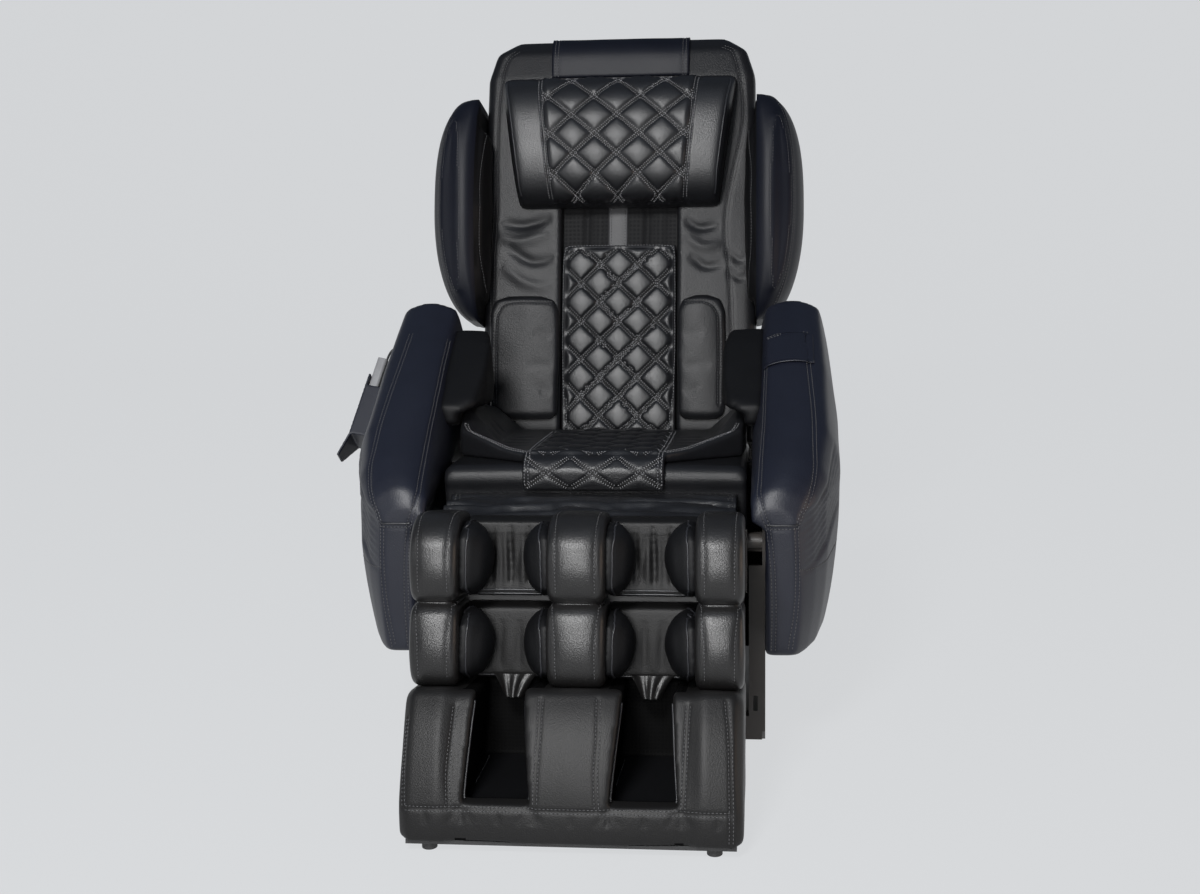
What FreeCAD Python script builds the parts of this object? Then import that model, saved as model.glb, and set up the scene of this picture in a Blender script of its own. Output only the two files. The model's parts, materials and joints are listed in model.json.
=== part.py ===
import FreeCAD, Part
import json
import math
import os
import re
import Sketcher

# Massage chair, upright at rest. X runs across it, Y from its front to its back, Z up.
# The pieces are drawn in a design frame whose Y starts at the front of the foot unit,
# and are moved at the end so that the origin lies under the middle of the whole chair.

Vector = FreeCAD.Vector
Placement = FreeCAD.Placement
Rotation = FreeCAD.Rotation

# Driving sizes in millimetres and degrees: name, value, meaning.
SIZES = [
    ("soft_gap", "0.3", "gap between a soft piece and what it rests on"),
    ("shaft_gap", "0.05", "radial gap of a shaft that turns in a hole"),
    ("guide_gap", "0.5", "gap of a sliding guide"),
    ("moving_gap", "2", "gap between covers that move past each other"),
    ("leg_hinge_back", "395", "leg hinge, back from the front of the foot unit"),
    ("leg_hinge_up", "340", "leg hinge above the floor"),
    ("leg_rest_angle", "13", "tilt of the leg unit at rest"),
    ("back_hinge_back", "900", "back hinge, back from the front of the foot unit"),
    ("back_hinge_up", "330", "back hinge above the floor"),
    ("back_rest_angle", "18", "lean of the backrest at rest"),
    ("shaft_radius", "12", "hinge shafts"),
    ("hinge_pad_radius", "28", "steel round each hinge hole"),
    ("web_inner", "266", "inner face of the base side plates"),
    ("web_thickness", "5", "base side plates"),
    ("web_front", "395", "front edge of the base side plates"),
    ("web_foot_rear", "850", "rear end of the flat foot of the side plates"),
    ("web_rear", "940", "rear edge of the side plates"),
    ("web_top", "372", "top of the side plates at the hinges"),
    ("web_waist", "320", "top of the side plates under the arms"),
    ("flange_width", "21", "front flange of the side plates"),
    ("flange_thickness", "4", "front flange of the side plates"),
    ("flange_top", "300", "top of the front flange"),
    ("flange_slot_width", "7", "slot in the front flange"),
    ("flange_slot_height", "26", "slot in the front flange"),
    ("flange_slot_up", "70", "middle of the flange slot above the floor"),
    ("foot_chamfer", "22", "chamfer at the lower corner of the flange and plate"),
    ("rail_height", "40", "low cross tubes"),
    ("rail_depth", "25", "low cross tubes"),
    ("rail_lift", "8", "low cross tubes above the floor"),
    ("tray_thickness", "4", "tray between the low cross tubes"),
    ("bar_height", "25", "cross bars under the seat"),
    ("bar_depth", "25", "cross bars under the seat"),
    ("bar_bottom", "300", "underside of the seat cross bars"),
    ("front_bar_back", "470", "front seat cross bar"),
    ("rear_bar_back", "790", "rear seat cross bar"),
    ("rear_panel_half_width", "120", "rear service panel"),
    ("rear_panel_top", "150", "rear service panel"),
    ("wheel_radius", "30", "rear transport wheels"),
    ("wheel_width", "20", "rear transport wheels"),
    ("wheel_lift", "1", "wheels clear the floor until the chair is tipped"),
    ("wheel_back", "908", "wheel axis"),
    ("axle_radius", "6", "wheel axle stubs"),
    ("pan_thickness", "6", "seat pan"),
    ("pan_half_width", "236", "seat pan"),
    ("pan_front", "452", "seat pan"),
    ("pan_rear", "845", "seat pan"),
    ("seat_half_width", "240", "seat cushion"),
    ("seat_front", "431", "foremost point of the seat's front roll"),
    ("seat_rear", "850", "rear of the seat cushion"),
    ("seat_top_front", "446", "seat cushion's top at the front roll"),
    ("seat_top_rear", "394", "seat cushion's top at the rear"),
    ("roll_height", "35", "front roll of the seat cushion"),
    ("roll_depth", "13", "how far the front roll stands in front of the cushion"),
    ("overlay_thickness", "15", "quilted seat overlay"),
    ("overlay_front_half_width", "112", "front edge of the overlay"),
    ("overlay_half_width", "238", "overlay across its raised sides"),
    ("overlay_side_rise", "62", "raised sides of the overlay above the cushion"),
    ("apron_half_width", "226", "front apron"),
    ("apron_thickness", "4", "front apron"),
    ("arm_inner", "272", "inner face of the arm's lower part"),
    ("arm_inner_top", "250", "inner face of the arm's upper part"),
    ("arm_outer", "392", "widest point of the arm"),
    ("arm_front", "320", "front of the arm"),
    ("arm_rear", "866", "rear of the arm"),
    ("arm_bottom", "177", "underside of the arm"),
    ("arm_strip_width", "47", "front strip of the arm"),
    ("arm_strip_top", "393", "seam at the top of the front strip"),
    ("arm_top_front", "440", "top of the arm at its front roll"),
    ("arm_top_rear", "661", "highest point of the arm"),
    ("arm_top_back", "780", "highest point of the arm, back from the front"),
    ("arm_panel_thickness", "12", "panel inside the arm"),
    ("arm_panel_inset", "16", "panel behind the cover's outline"),
    ("boss_radius", "14", "bosses that carry the arm panel"),
    ("side_pad_reach", "44", "air pad on the arm's inner side"),
    ("calf_half_width", "239", "calf unit"),
    ("calf_pitch", "122", "from one row of calf pads to the next"),
    ("calf_row_gap", "3", "gap between the rows"),
    ("calf_top_rise", "50", "upper pads above the leg hinge, along the leg"),
    ("calf_front", "235", "front of the calf pads, out from the hinge"),
    ("calf_back", "116", "back of the calf pads, out from the hinge"),
    ("calf_shell_back", "70", "back of the calf shell, out from the hinge"),
    ("calf_shell_rise", "24", "top of the calf shell above the hinge"),
    ("calf_pad_width", "66", "outer calf pads"),
    ("calf_middle_half_width", "40", "middle calf pads"),
    ("lining_thickness", "32", "padded lining at the back of the calf channels"),
    ("leaf_thickness", "13", "air leaves inside the channels"),
    ("foot_half_width", "240", "foot unit"),
    ("foot_front_reach", "318", "front of the foot unit, out from the hinge"),
    ("foot_top_reach", "272", "front of the foot unit at its top"),
    ("foot_underside", "12", "underside of the foot unit above the floor"),
    ("foot_floor", "56", "floor of the foot wells above the ground"),
    ("lip_height", "70", "front lip of the foot wells"),
    ("well_inner", "52", "inner side of the foot wells at the bottom"),
    ("well_outer", "153", "outer side of the foot wells at the bottom"),
    ("well_inner_top", "74", "inner side of the foot wells at the top"),
    ("well_outer_top", "138", "outer side of the foot wells at the top"),
    ("well_back", "112", "back of the foot wells, out from the hinge"),
    ("foot_shell_thickness", "6", "plastic shell under and behind the foot cover"),
    ("foot_slide_radius", "7", "slide rods of the foot unit"),
    ("foot_tube_radius", "10", "guide tubes of the foot unit"),
    ("foot_slide_offset", "150", "slide rods from the middle"),
    ("foot_roller_radius", "16", "foot rollers"),
    ("glide_radius", "11", "glides under the foot unit"),
    ("glide_offset", "201", "glides from the middle"),
    ("glide_back", "24", "glides, back from the front"),
    ("back_half_width", "253", "backrest"),
    ("back_bottom", "43", "lower edge of the back cushion above the hinge"),
    ("back_top", "806", "top of the backrest above the hinge"),
    ("back_front", "46", "front of the back cushion, out from the hinge line"),
    ("cushion_back", "30", "rear face of the back cushion, behind the hinge line"),
    ("shell_depth", "168", "deepest point of the rear shell"),
    ("shell_wall", "5", "wall of the rear shell"),
    ("channel_half_width", "109", "roller channel in the back cushion"),
    ("channel_top", "700", "upper end of the roller channel"),
    ("cloth_front", "22", "front of the roller cloth"),
    ("cloth_thickness", "3", "roller cloth"),
    ("quilt_half_width", "106", "quilted back strip"),
    ("quilt_front", "51", "front of the quilted back strip"),
    ("quilt_top", "411", "top of the quilted back strip"),
    ("lumbar_top", "311", "top of the lumbar pads"),
    ("lumbar_bottom", "86", "lower edge of the lumbar pads"),
    ("lumbar_inner", "112", "inner edge of the lumbar pads"),
    ("lumbar_outer_left", "236", "outer edge of the left lumbar pad"),
    ("lumbar_outer_right", "196", "outer edge of the right lumbar pad"),
    ("lumbar_thickness", "24", "lumbar pads"),
    ("pillow_bottom", "479", "lower edge of the head pillow"),
    ("pillow_top", "724", "upper edge of the head pillow"),
    ("pillow_half_width_top", "219", "head pillow"),
    ("pillow_half_width_bottom", "186", "head pillow"),
    ("pillow_thickness", "76", "head pillow"),
    ("flap_half_width", "130", "leather flap over the top"),
    ("flap_thickness", "3", "leather flap over the top"),
    ("wing_middle", "464", "middle of the shoulder wings above the hinge"),
    ("wing_half_height", "206", "shoulder wings"),
    ("wing_half_depth", "108", "shoulder wings, front to back"),
    ("wing_forward", "66", "middle of the wings in front of the hinge line"),
    ("wing_bulge", "88", "how far the wings stand out from the backrest"),
    ("wing_wall", "6", "wall of the wing shells"),
    ("wing_pad_reach", "20", "how far the inner air pads stand inwards"),
    ("side_rail_offset", "215", "side rails of the back frame"),
    ("side_rail_size", "22", "side rails of the back frame"),
    ("ear_offset", "259", "hinge ears of the back frame"),
    ("ear_thickness", "6", "hinge ears of both frames"),
    ("roller_rail_offset", "100", "roller rails"),
    ("roller_rail_width", "8", "roller rails"),
    ("roller_rail_front", "42", "roller rails, behind the hinge line"),
    ("roller_rail_depth", "32", "roller rails"),
    ("carriage_height", "110", "massage carriage"),
    ("carriage_low", "96", "massage carriage at rest above the hinge"),
    ("carriage_plate", "8", "front plate of the carriage"),
    ("carriage_lug", "6", "lugs that hold the massage arms' pins"),
    ("nut_half_width", "18", "nut block of the carriage on the lead screw"),
    ("nut_inset", "20", "nut block inside the carriage's height"),
    ("screw_radius", "8", "lead screw"),
    ("screw_back", "88", "lead screw behind the hinge line"),
    ("screw_low", "-14", "lower end of the lead screw, from the hinge line"),
    ("lift_motor_low", "-52", "lower end of the lift motor, from the hinge line"),
    ("lift_motor_high", "8", "upper end of the lift motor, from the hinge line"),
    ("massage_arm_offset", "52", "massage arms from the middle"),
    ("massage_arm_thickness", "10", "massage arms"),
    ("roller_radius", "22", "massage rollers"),
    ("roller_width", "24", "massage rollers"),
    ("roller_spread", "44", "massage rollers above and below their arm's pivot"),
    ("roller_axis_back", "14", "massage roller axes behind the hinge line"),
    ("pin_radius", "5", "pins of the massage arms and rollers"),
    ("recline_lever", "92", "pin circle of the recline lever"),
    ("leg_lever", "80", "pin circle of the leg lever"),
    ("lever_offset", "60", "levers and motors from the middle"),
    ("lever_thickness", "8", "levers"),
    ("lever_pin_radius", "5", "pins of the levers"),
    ("rod_radius", "9", "rods of the two linear motors"),
    ("motor_width", "56", "linear motors"),
    ("motor_height", "62", "linear motors"),
    ("motor_length", "200", "linear motors"),
    ("motor_nose", "30", "closed end of a motor's case"),
    ("hanger_length", "30", "hangers of the motors"),
    ("hanger_half_width", "10", "hangers of the motors"),
    ("recline_rod_start", "106", "inner end of the recline rod behind its motor's front"),
    ("leg_rod_inset", "40", "inner end of the leg rod before its motor's rear"),
    ("fork_neck", "24", "from a rod's end to its pin"),
    ("fork_reach", "28", "fork on the rod's side of its pin"),
    ("fork_past", "12", "fork on the far side of its pin"),
    ("fork_bridge", "6", "bridge between a fork's cheeks"),
    ("fork_wall", "5", "cheeks above and below their slot"),
    ("fork_room", "1.5", "room between a fork and its lever"),
    ("slot_room", "1.8", "room for the pin across its slot"),
    ("recline_motor_front", "520", "front end of the recline motor"),
    ("leg_motor_front", "560", "front end of the leg motor"),
    ("box_length", "150", "control box"),
    ("box_width", "120", "control box"),
    ("box_height", "62", "control box"),
    ("pump_length", "130", "air pump"),
    ("pump_width", "110", "air pump"),
    ("pump_height", "92", "air pump"),
    ("unit_front", "600", "control box and air pump, back from the front"),
    ("unit_offset", "90", "control box and air pump from the middle"),
    ("panel_part_drop", "35", "mains inlet and rocker below the rear panel's top"),
    ("inlet_across", "-30", "middle of the mains inlet"),
    ("inlet_depth", "24", "mains inlet inside the rear panel"),
    ("inlet_rim", "3", "rim round the mains inlet"),
    ("rocker_across", "20", "middle of the rocker switch"),
    ("inlet_width", "30", "mains inlet"),
    ("inlet_height", "24", "mains inlet"),
    ("rocker_width", "14", "rocker switch"),
    ("rocker_height", "22", "rocker switch"),
    ("handset_length", "150", "handset"),
    ("handset_width", "56", "handset"),
    ("handset_thickness", "17", "handset"),
    ("button_radius", "6", "handset power button"),
    ("button_travel", "1.5", "handset power button"),
    ("pocket_wall", "4", "leather of the remote pocket"),
    ("strain_relief", "8", "strain relief at the handset's end"),
    ("cord_diameter", "4", "handset cord"),
    ("diamond_width", "74", "diamonds of the quilting"),
    ("diamond_height", "71", "diamonds of the quilting"),
    ("stitch_depth", "2.6", "sewn channels of the quilting"),
    ("stitch_width", "8", "sewn channels of the quilting"),
    ("pillow_quilt_half_width", "126", "quilted middle of the head pillow"),
    ("strap_half_width", "20", "strap in front of the roller cloth"),
    ("fold_depth", "2.4", "folds of thin cloth"),
    ("hank_pitch", "4.5", "turns of the put-away cord"),
    ("hank_half_width", "25.5", "outermost turn of the put-away cord"),
    ("hank_run", "22", "straight sides of the put-away cord"),
    ("hank_turns", "3", "turns in each of the hank's two layers"),
]

document = FreeCAD.newDocument("MassageChair")
sheet = document.addObject("Spreadsheet::Sheet", "Sizes")
for row, (alias, amount, meaning) in enumerate(SIZES, start=1):
    sheet.set(f"A{row}", meaning)
    sheet.set(f"B{row}", amount)
    sheet.setAlias(f"B{row}", alias)
document.recompute()
ALIASES = {alias for alias, _, _ in SIZES}
nodes = {}


def linked(text):
    """The text with each size name pointing at its cell in the sheet."""
    return re.sub(r"[A-Za-z_]\w*", lambda found: f"Sizes.{found.group()}"
                  if found.group() in ALIASES else found.group(), str(text))


def size(text):
    """The present value of an expression of sizes."""
    result = sheet.evalExpression(linked(text))
    return float(getattr(result, "Value", result))


def bind(thing, name, text):
    """Bind a property or constraint of an object to an expression of sizes."""
    thing.setExpression(name, linked(text))


def back_place():
    """The backrest's frame: its origin on the back hinge, Z up along the backrest, Y to its rear."""
    return Placement(Vector(0, size("back_hinge_back"), size("back_hinge_up")),
                     Rotation(Vector(1, 0, 0), -size("back_rest_angle")))


def leg_place():
    """The leg unit's frame: its origin on the leg hinge, Z up along the leg, Y to its rear."""
    return Placement(Vector(0, size("leg_hinge_back"), size("leg_hinge_up")),
                     Rotation(Vector(1, 0, 0), -size("leg_rest_angle")))


BASE = Placement()
BACK = back_place()
LEG = leg_place()


def keep(thing, name, place):
    """Name a finished sub-part and put it in its place in the chair."""
    thing.Label = name
    thing.Placement = place.multiply(thing.Placement)
    nodes[name] = thing
    return thing


def origin_plane(body, role):
    return next(item for item in body.Origin.OriginFeatures if item.Role == role)


def new_sketch(body, plane, offset):
    """A sketch on one of the body's own origin planes, moved along the plane's normal."""
    sketch = body.newObject("Sketcher::SketchObject", "sketch")
    sketch.AttachmentSupport = [(origin_plane(body, plane + "_Plane"), "")]
    sketch.MapMode = "FlatFace"
    bind(sketch, "AttachmentOffset.Base.z", offset)
    return sketch


def draw_polygon(sketch, corners):
    """A closed outline whose corners are pairs of size expressions."""
    count = len(corners)
    points = [Vector(size(across), size(along), 0) for across, along in corners]
    first = sketch.GeometryCount
    for index in range(count):
        sketch.addGeometry(Part.LineSegment(points[index], points[(index + 1) % count]), False)
    for index in range(count):
        sketch.addConstraint(Sketcher.Constraint(
            "Coincident", first + index, 2, first + (index + 1) % count, 1))
    for index, (across, along) in enumerate(corners):
        for kind, text, amount in (("DistanceX", across, points[index].x),
                                   ("DistanceY", along, points[index].y)):
            number = sketch.addConstraint(
                Sketcher.Constraint(kind, -1, 1, first + index, 1, amount))
            bind(sketch, f"Constraints[{number}]", text)


def draw_circle(sketch, across, along, radius):
    place = Vector(size(across), size(along), 0)
    ring_index = sketch.addGeometry(
        Part.Circle(place, Vector(0, 0, 1), size(radius)), False)
    for kind, text, amount in (("DistanceX", across, place.x), ("DistanceY", along, place.y)):
        number = sketch.addConstraint(
            Sketcher.Constraint(kind, -1, 1, ring_index, 3, amount))
        bind(sketch, f"Constraints[{number}]", text)
    number = sketch.addConstraint(Sketcher.Constraint("Radius", ring_index, size(radius)))
    bind(sketch, f"Constraints[{number}]", radius)


def span(plane, low, high):
    """Offset and length of a pad between two places; the XZ plane's normal points to -Y."""
    return f"-({high})" if plane == "XZ" else low, f"({high}) - ({low})"


def add_pad(body, plane, outline, low, high):
    """Pad an outline, or circles given as (across, along, radius), between two places."""
    offset, length = span(plane, low, high)
    sketch = new_sketch(body, plane, offset)
    if len(outline[0]) == 3:
        for across, along, radius in outline:
            draw_circle(sketch, across, along, radius)
    else:
        draw_polygon(sketch, outline)
    pad = body.newObject("PartDesign::Pad", "pad")
    pad.Profile = sketch
    bind(pad, "Length", length)
    return pad


def add_pocket(body, plane, outline, low, high):
    """Cut an outline or circles out of the body between two places."""
    offset, length = span(plane, low, high)
    sketch = new_sketch(body, plane, f"({offset}) + ({length})")
    if len(outline[0]) == 3:
        for across, along, radius in outline:
            draw_circle(sketch, across, along, radius)
    else:
        draw_polygon(sketch, outline)
    pocket = body.newObject("PartDesign::Pocket", "pocket")
    pocket.Profile = sketch
    bind(pocket, "Length", length)
    document.recompute()
    before = pocket.BaseFeature.Shape.Volume
    if not pocket.Shape.Volume < before:
        raise ValueError(f"a pocket in {body.Name} cuts nothing")
    return pocket


def new_body(name):
    return document.addObject("PartDesign::Body", name)


def rectangle(low_a, high_a, low_b, high_b):
    return [(low_a, low_b), (high_a, low_b), (high_a, high_b), (low_a, high_b)]


def add_block(body, across, back, up):
    """A block between three pairs of places."""
    return add_pad(body, "XY", rectangle(*across, *back), *up)


def round_edges(body, feature, radius, chosen):
    """Fillet the edges that a test picks, by their middle point and direction."""
    document.recompute()
    names = []
    for index, edge in enumerate(feature.Shape.Edges, start=1):
        middle = edge.valueAt((edge.FirstParameter + edge.LastParameter) / 2)
        if chosen(middle, edge):
            names.append(f"Edge{index}")
    fillet = body.newObject("PartDesign::Fillet", "fillet")
    fillet.Base = (feature, names)
    bind(fillet, "Radius", radius)


def turned(name, profile):
    """A body of revolution about the X axis from (along X, radius) corners."""
    body = new_body(name)
    sketch = new_sketch(body, "XY", "0")
    draw_polygon(sketch, profile)
    turn = body.newObject("PartDesign::Revolution", "turn")
    turn.Profile = sketch
    turn.ReferenceAxis = (sketch, ["H_Axis"])
    turn.Angle = 360
    return body


def both(low, high, side):
    """The pair of places mirrored to the chair's left when side is -1."""
    return (low, high) if side > 0 else (f"-({high})", f"-({low})")


def ring(plane, place, corners, bulges):
    """A closed wire: each edge is a line, or an arc that bulges outwards by the given amount."""
    area = sum(a[0] * b[1] - b[0] * a[1] for a, b in zip(corners, corners[1:] + corners[:1]))
    turn = 1 if area > 0 else -1

    def put(across, along):
        if plane == "YZ":
            return Vector(place, across, along)
        if plane == "XZ":
            return Vector(across, place, along)
        return Vector(across, along, place)

    edges = []
    for index, start in enumerate(corners):
        end = corners[(index + 1) % len(corners)]
        bulge = bulges[index]
        if bulge:
            run = math.hypot(end[0] - start[0], end[1] - start[1])
            middle = ((start[0] + end[0]) / 2 + turn * bulge * (end[1] - start[1]) / run,
                      (start[1] + end[1]) / 2 - turn * bulge * (end[0] - start[0]) / run)
            edges.append(Part.Arc(put(*start), put(*middle), put(*end)).toShape())
        else:
            edges.append(Part.LineSegment(put(*start), put(*end)).toShape())
    return Part.Wire(edges)


def loft(rings, ruled=True):
    """A solid through the rings, with its faces pointing out."""
    solid = Part.makeLoft(rings, True, ruled)
    if solid.Volume < 0:
        solid.reverse()
    return solid


def mirrored(shape, side):
    return shape if side > 0 else shape.mirror(Vector(0, 0, 0), Vector(1, 0, 0))


def diamond_lines(low_a, high_a, low_b, high_b):
    """Both families of slanting seams of a diamond quilting, clipped to a rectangle."""
    wide, tall = size("diamond_width"), size("diamond_height")
    middle_a, middle_b = (low_a + high_a) / 2, (low_b + high_b) / 2
    reach = int((high_a - low_a) / wide + (high_b - low_b) / tall) + 2
    lines = []
    for slope in (tall / wide, -tall / wide):
        for number in range(-reach, reach + 1):
            offset = middle_b + (number + 0.5) * tall
            ends = []
            for a in (low_a, high_a):
                b = offset + slope * (a - middle_a)
                if low_b <= b <= high_b:
                    ends.append((a, b))
            for b in (low_b, high_b):
                a = middle_a + (b - offset) / slope
                if low_a < a < high_a:
                    ends.append((a, b))
            if len(ends) == 2 and math.dist(*ends) > wide * 0.3:
                lines.append(sorted(ends))
    return lines


def sewn_channel(points, outward):
    """A V-shaped channel along points on a surface whose outward direction is given."""
    depth, half = size("stitch_depth"), size("stitch_width") / 2
    sections = []
    for index, point in enumerate(points):
        before = points[max(index - 1, 0)]
        after = points[min(index + 1, len(points) - 1)]
        sideways = after.sub(before).cross(outward)
        sideways.normalize()
        high = point.add(Vector(outward).multiply(depth * 0.4))
        corners = [point.sub(Vector(outward).multiply(depth)),
                   high.add(Vector(sideways).multiply(half * 1.4)),
                   high.sub(Vector(sideways).multiply(half * 1.4))]
        sections.append(Part.makePolygon(corners + corners[:1]))
    return loft(sections)


def quilted(shape, bounds, surface, outward, steps):
    """Sew a diamond quilting into a pad; surface gives the point over two coordinates."""
    channels = []
    for (low_a, low_b), (high_a, high_b) in diamond_lines(*bounds):
        points = []
        for step in range(steps + 1):
            share = step / steps
            points.append(surface(low_a + share * (high_a - low_a), low_b + share * (high_b - low_b)))
        channels.append(sewn_channel(points, outward))
    for channel in channels:
        shape = shape.cut(channel)
    return shape


def feature(name, shape, place):
    thing = document.addObject("Part::Feature", name)
    thing.Shape = shape
    return keep(thing, name, place)


def block(low_x, high_x, low_y, high_y, low_z, high_z):
    return Part.makeBox(high_x - low_x, high_y - low_y, high_z - low_z,
                        Vector(low_x, low_y, low_z))


def rod(radius, start, end):
    run = end.sub(start)
    return Part.makeCylinder(radius, run.Length, start, run)


# Base

def make_base_frame():
    """Welded base: two side plates with front flanges, cross tubes, tray and seat bars."""
    body = new_body("base_frame")
    low_front = "web_front"
    outline = [
        (f"{low_front} + foot_chamfer", "0"), ("web_foot_rear", "0"),
        ("wheel_back - wheel_radius * 0.7", "wheel_radius * 0.4"),
        ("wheel_back + wheel_radius * 0.5", "wheel_radius * 0.3"),
        ("wheel_back + wheel_radius * 0.9", "wheel_radius"),
        ("web_rear", "foot_chamfer * 3"), ("web_rear", "web_top"),
        ("back_hinge_back - hinge_pad_radius", "web_top"),
        ("back_hinge_back - hinge_pad_radius * 2", "web_waist"),
        ("leg_hinge_back + hinge_pad_radius * 2", "web_waist"),
        ("leg_hinge_back + hinge_pad_radius", "web_top"),
        ("leg_hinge_back - hinge_pad_radius", "web_top"),
        ("leg_hinge_back - hinge_pad_radius", "flange_top"),
        (low_front, "flange_top"), (low_front, "foot_chamfer")]
    rail_top = "rail_lift + rail_height"
    rear_rail = "web_foot_rear - rail_depth"
    add_pad(body, "YZ", outline, "-(web_inner + web_thickness)", "-web_inner")
    inside = ("-web_inner", "web_inner")
    add_block(body, inside, (low_front, f"{low_front} + rail_depth"), ("rail_lift", rail_top))
    add_block(body, inside, (rear_rail, "web_foot_rear"), ("rail_lift", rail_top))
    add_block(body, inside, ("front_bar_back", "front_bar_back + bar_depth"),
              ("bar_bottom", "bar_bottom + bar_height"))
    add_block(body, inside, ("rear_bar_back", "rear_bar_back + bar_depth"),
              ("bar_bottom", "bar_bottom + bar_height"))
    add_pad(body, "YZ", outline, "web_inner", "web_inner + web_thickness")
    add_block(body, inside, (f"{low_front} + rail_depth / 2", f"{rear_rail} + rail_depth / 2"),
              (rail_top, f"{rail_top} + tray_thickness"))
    add_block(body, ("-rear_panel_half_width", "rear_panel_half_width"),
              ("web_foot_rear", "web_foot_rear + tray_thickness"), ("rail_lift", "rear_panel_top"))
    for side in (1, -1):
        flange = [both("web_inner - flange_width", "web_inner", side)]
        low, high = flange[0]
        inner = low if side > 0 else high
        outer = high if side > 0 else low
        corners = [(inner, "foot_chamfer"), (inner, "flange_top"), (outer, "flange_top"),
                   (outer, "foot_chamfer * 1.2")]
        add_pad(body, "XZ", corners, low_front, f"{low_front} + flange_thickness")
        middle = f"({low} + {high}) / 2"
        slot = rectangle(f"{middle} - flange_slot_width / 2", f"{middle} + flange_slot_width / 2",
                         "flange_slot_up - flange_slot_height / 2",
                         "flange_slot_up + flange_slot_height / 2")
        add_pocket(body, "XZ", slot, f"{low_front} - 1", f"{low_front} + flange_thickness + 1")
        stub = [("wheel_back", "wheel_radius + wheel_lift", "axle_radius")]
        add_pad(body, "YZ", stub, *both("web_inner - wheel_width - moving_gap * 3", "web_inner", side))
    for hinge in ("leg_hinge", "back_hinge"):
        add_pocket(body, "YZ", [(f"{hinge}_back", f"{hinge}_up", "shaft_radius + shaft_gap")],
                   "-web_inner - web_thickness - 1", "web_inner + web_thickness + 1")
    for middle, width, height in (("-30", "inlet_width", "inlet_height"),
                                  ("20", "rocker_width", "rocker_height")):
        window = rectangle(f"{middle} - {width} / 2 - guide_gap", f"{middle} + {width} / 2 + guide_gap",
                           f"rear_panel_top - 35 - {height} / 2 - guide_gap",
                           f"rear_panel_top - 35 + {height} / 2 + guide_gap")
        add_pocket(body, "XZ", window, "web_foot_rear - 1", "web_foot_rear + tray_thickness + 1")
    keep(body, "base_frame", BASE)


def make_hinge_shafts():
    """The two through shafts that the leg unit and the backrest turn on."""
    shafts = []
    for hinge in ("leg_hinge", "back_hinge"):
        shaft = document.addObject("Part::Cylinder", hinge + "_shaft")
        bind(shaft, "Radius", "shaft_radius")
        bind(shaft, "Height", "(web_inner + web_thickness) * 2")
        shaft.Placement.Rotation = Rotation(Vector(0, 1, 0), 90)
        bind(shaft, "Placement.Base.x", "-(web_inner + web_thickness)")
        bind(shaft, "Placement.Base.y", f"{hinge}_back")
        bind(shaft, "Placement.Base.z", f"{hinge}_up")
        shafts.append(shaft)
    pair = document.addObject("Part::Compound", "hinge_shafts")
    pair.Links = shafts
    keep(pair, "hinge_shafts", BASE)


def make_wheels():
    for side, name in ((1, "rear_wheel_right"), (-1, "rear_wheel_left")):
        bore = "axle_radius + shaft_gap"
        body = turned(name, [
            ("0", bore), ("0", "wheel_radius * 0.86"), ("wheel_width * 0.15", "wheel_radius"),
            ("wheel_width * 0.85", "wheel_radius"), ("wheel_width", "wheel_radius * 0.86"),
            ("wheel_width", bore)])
        shift = size("web_inner - moving_gap - wheel_width")
        if side < 0:
            shift = -size("web_inner - moving_gap")
        body.Placement = Placement(
            Vector(shift, size("wheel_back"), size("wheel_radius + wheel_lift")), Rotation())
        keep(body, name, BASE)


def make_seat_pan():
    body = new_body("seat_pan")
    top = "bar_bottom + bar_height"
    add_block(body, ("-pan_half_width", "pan_half_width"), ("pan_front", "pan_rear"),
              (top, f"{top} + pan_thickness"))
    add_pocket(body, "XY", [("-pan_half_width * 0.5", "(pan_front + pan_rear) / 2", "pan_thickness * 5"),
                            ("pan_half_width * 0.5", "(pan_front + pan_rear) / 2", "pan_thickness * 5")],
               f"{top} - 1", f"{top} + pan_thickness + 1")
    keep(body, "seat_pan", BASE)


def seat_surface(back):
    """Height of the seat cushion's top at a place back from the front."""
    start = size("seat_front + roll_depth * 2")
    share = (back - start) / (size("seat_rear") - start)
    return size("seat_top_front") + share * size("seat_top_rear - seat_top_front")


def make_seat_cushion():
    """Seat cushion: a crowned pad whose front edge rolls forward over the apron."""
    low = size("bar_bottom + bar_height + pan_thickness + soft_gap")
    face = size("seat_front + roll_depth")
    roll_low = size("seat_top_front - roll_height")
    rear = size("seat_rear")
    half = size("seat_half_width")
    rings = []
    for place, drop, inset in ((-1, 9, 5), (-0.96, 2, 1), (-0.5, 0, 0), (0.5, 0, 0), (0.96, 2, 1), (1, 9, 5)):
        corners = [(rear - inset, low + inset), (rear - inset, seat_surface(rear) - drop),
                   (face + size("roll_depth"), size("seat_top_front") - drop),
                   (face, roll_low + drop * 0.3), (face, low + inset)]
        rings.append(ring("YZ", place * half, corners, (0, 3, size("roll_height") * 0.3, 0, 0)))
    feature("seat_cushion", loft(rings), BASE)


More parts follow.
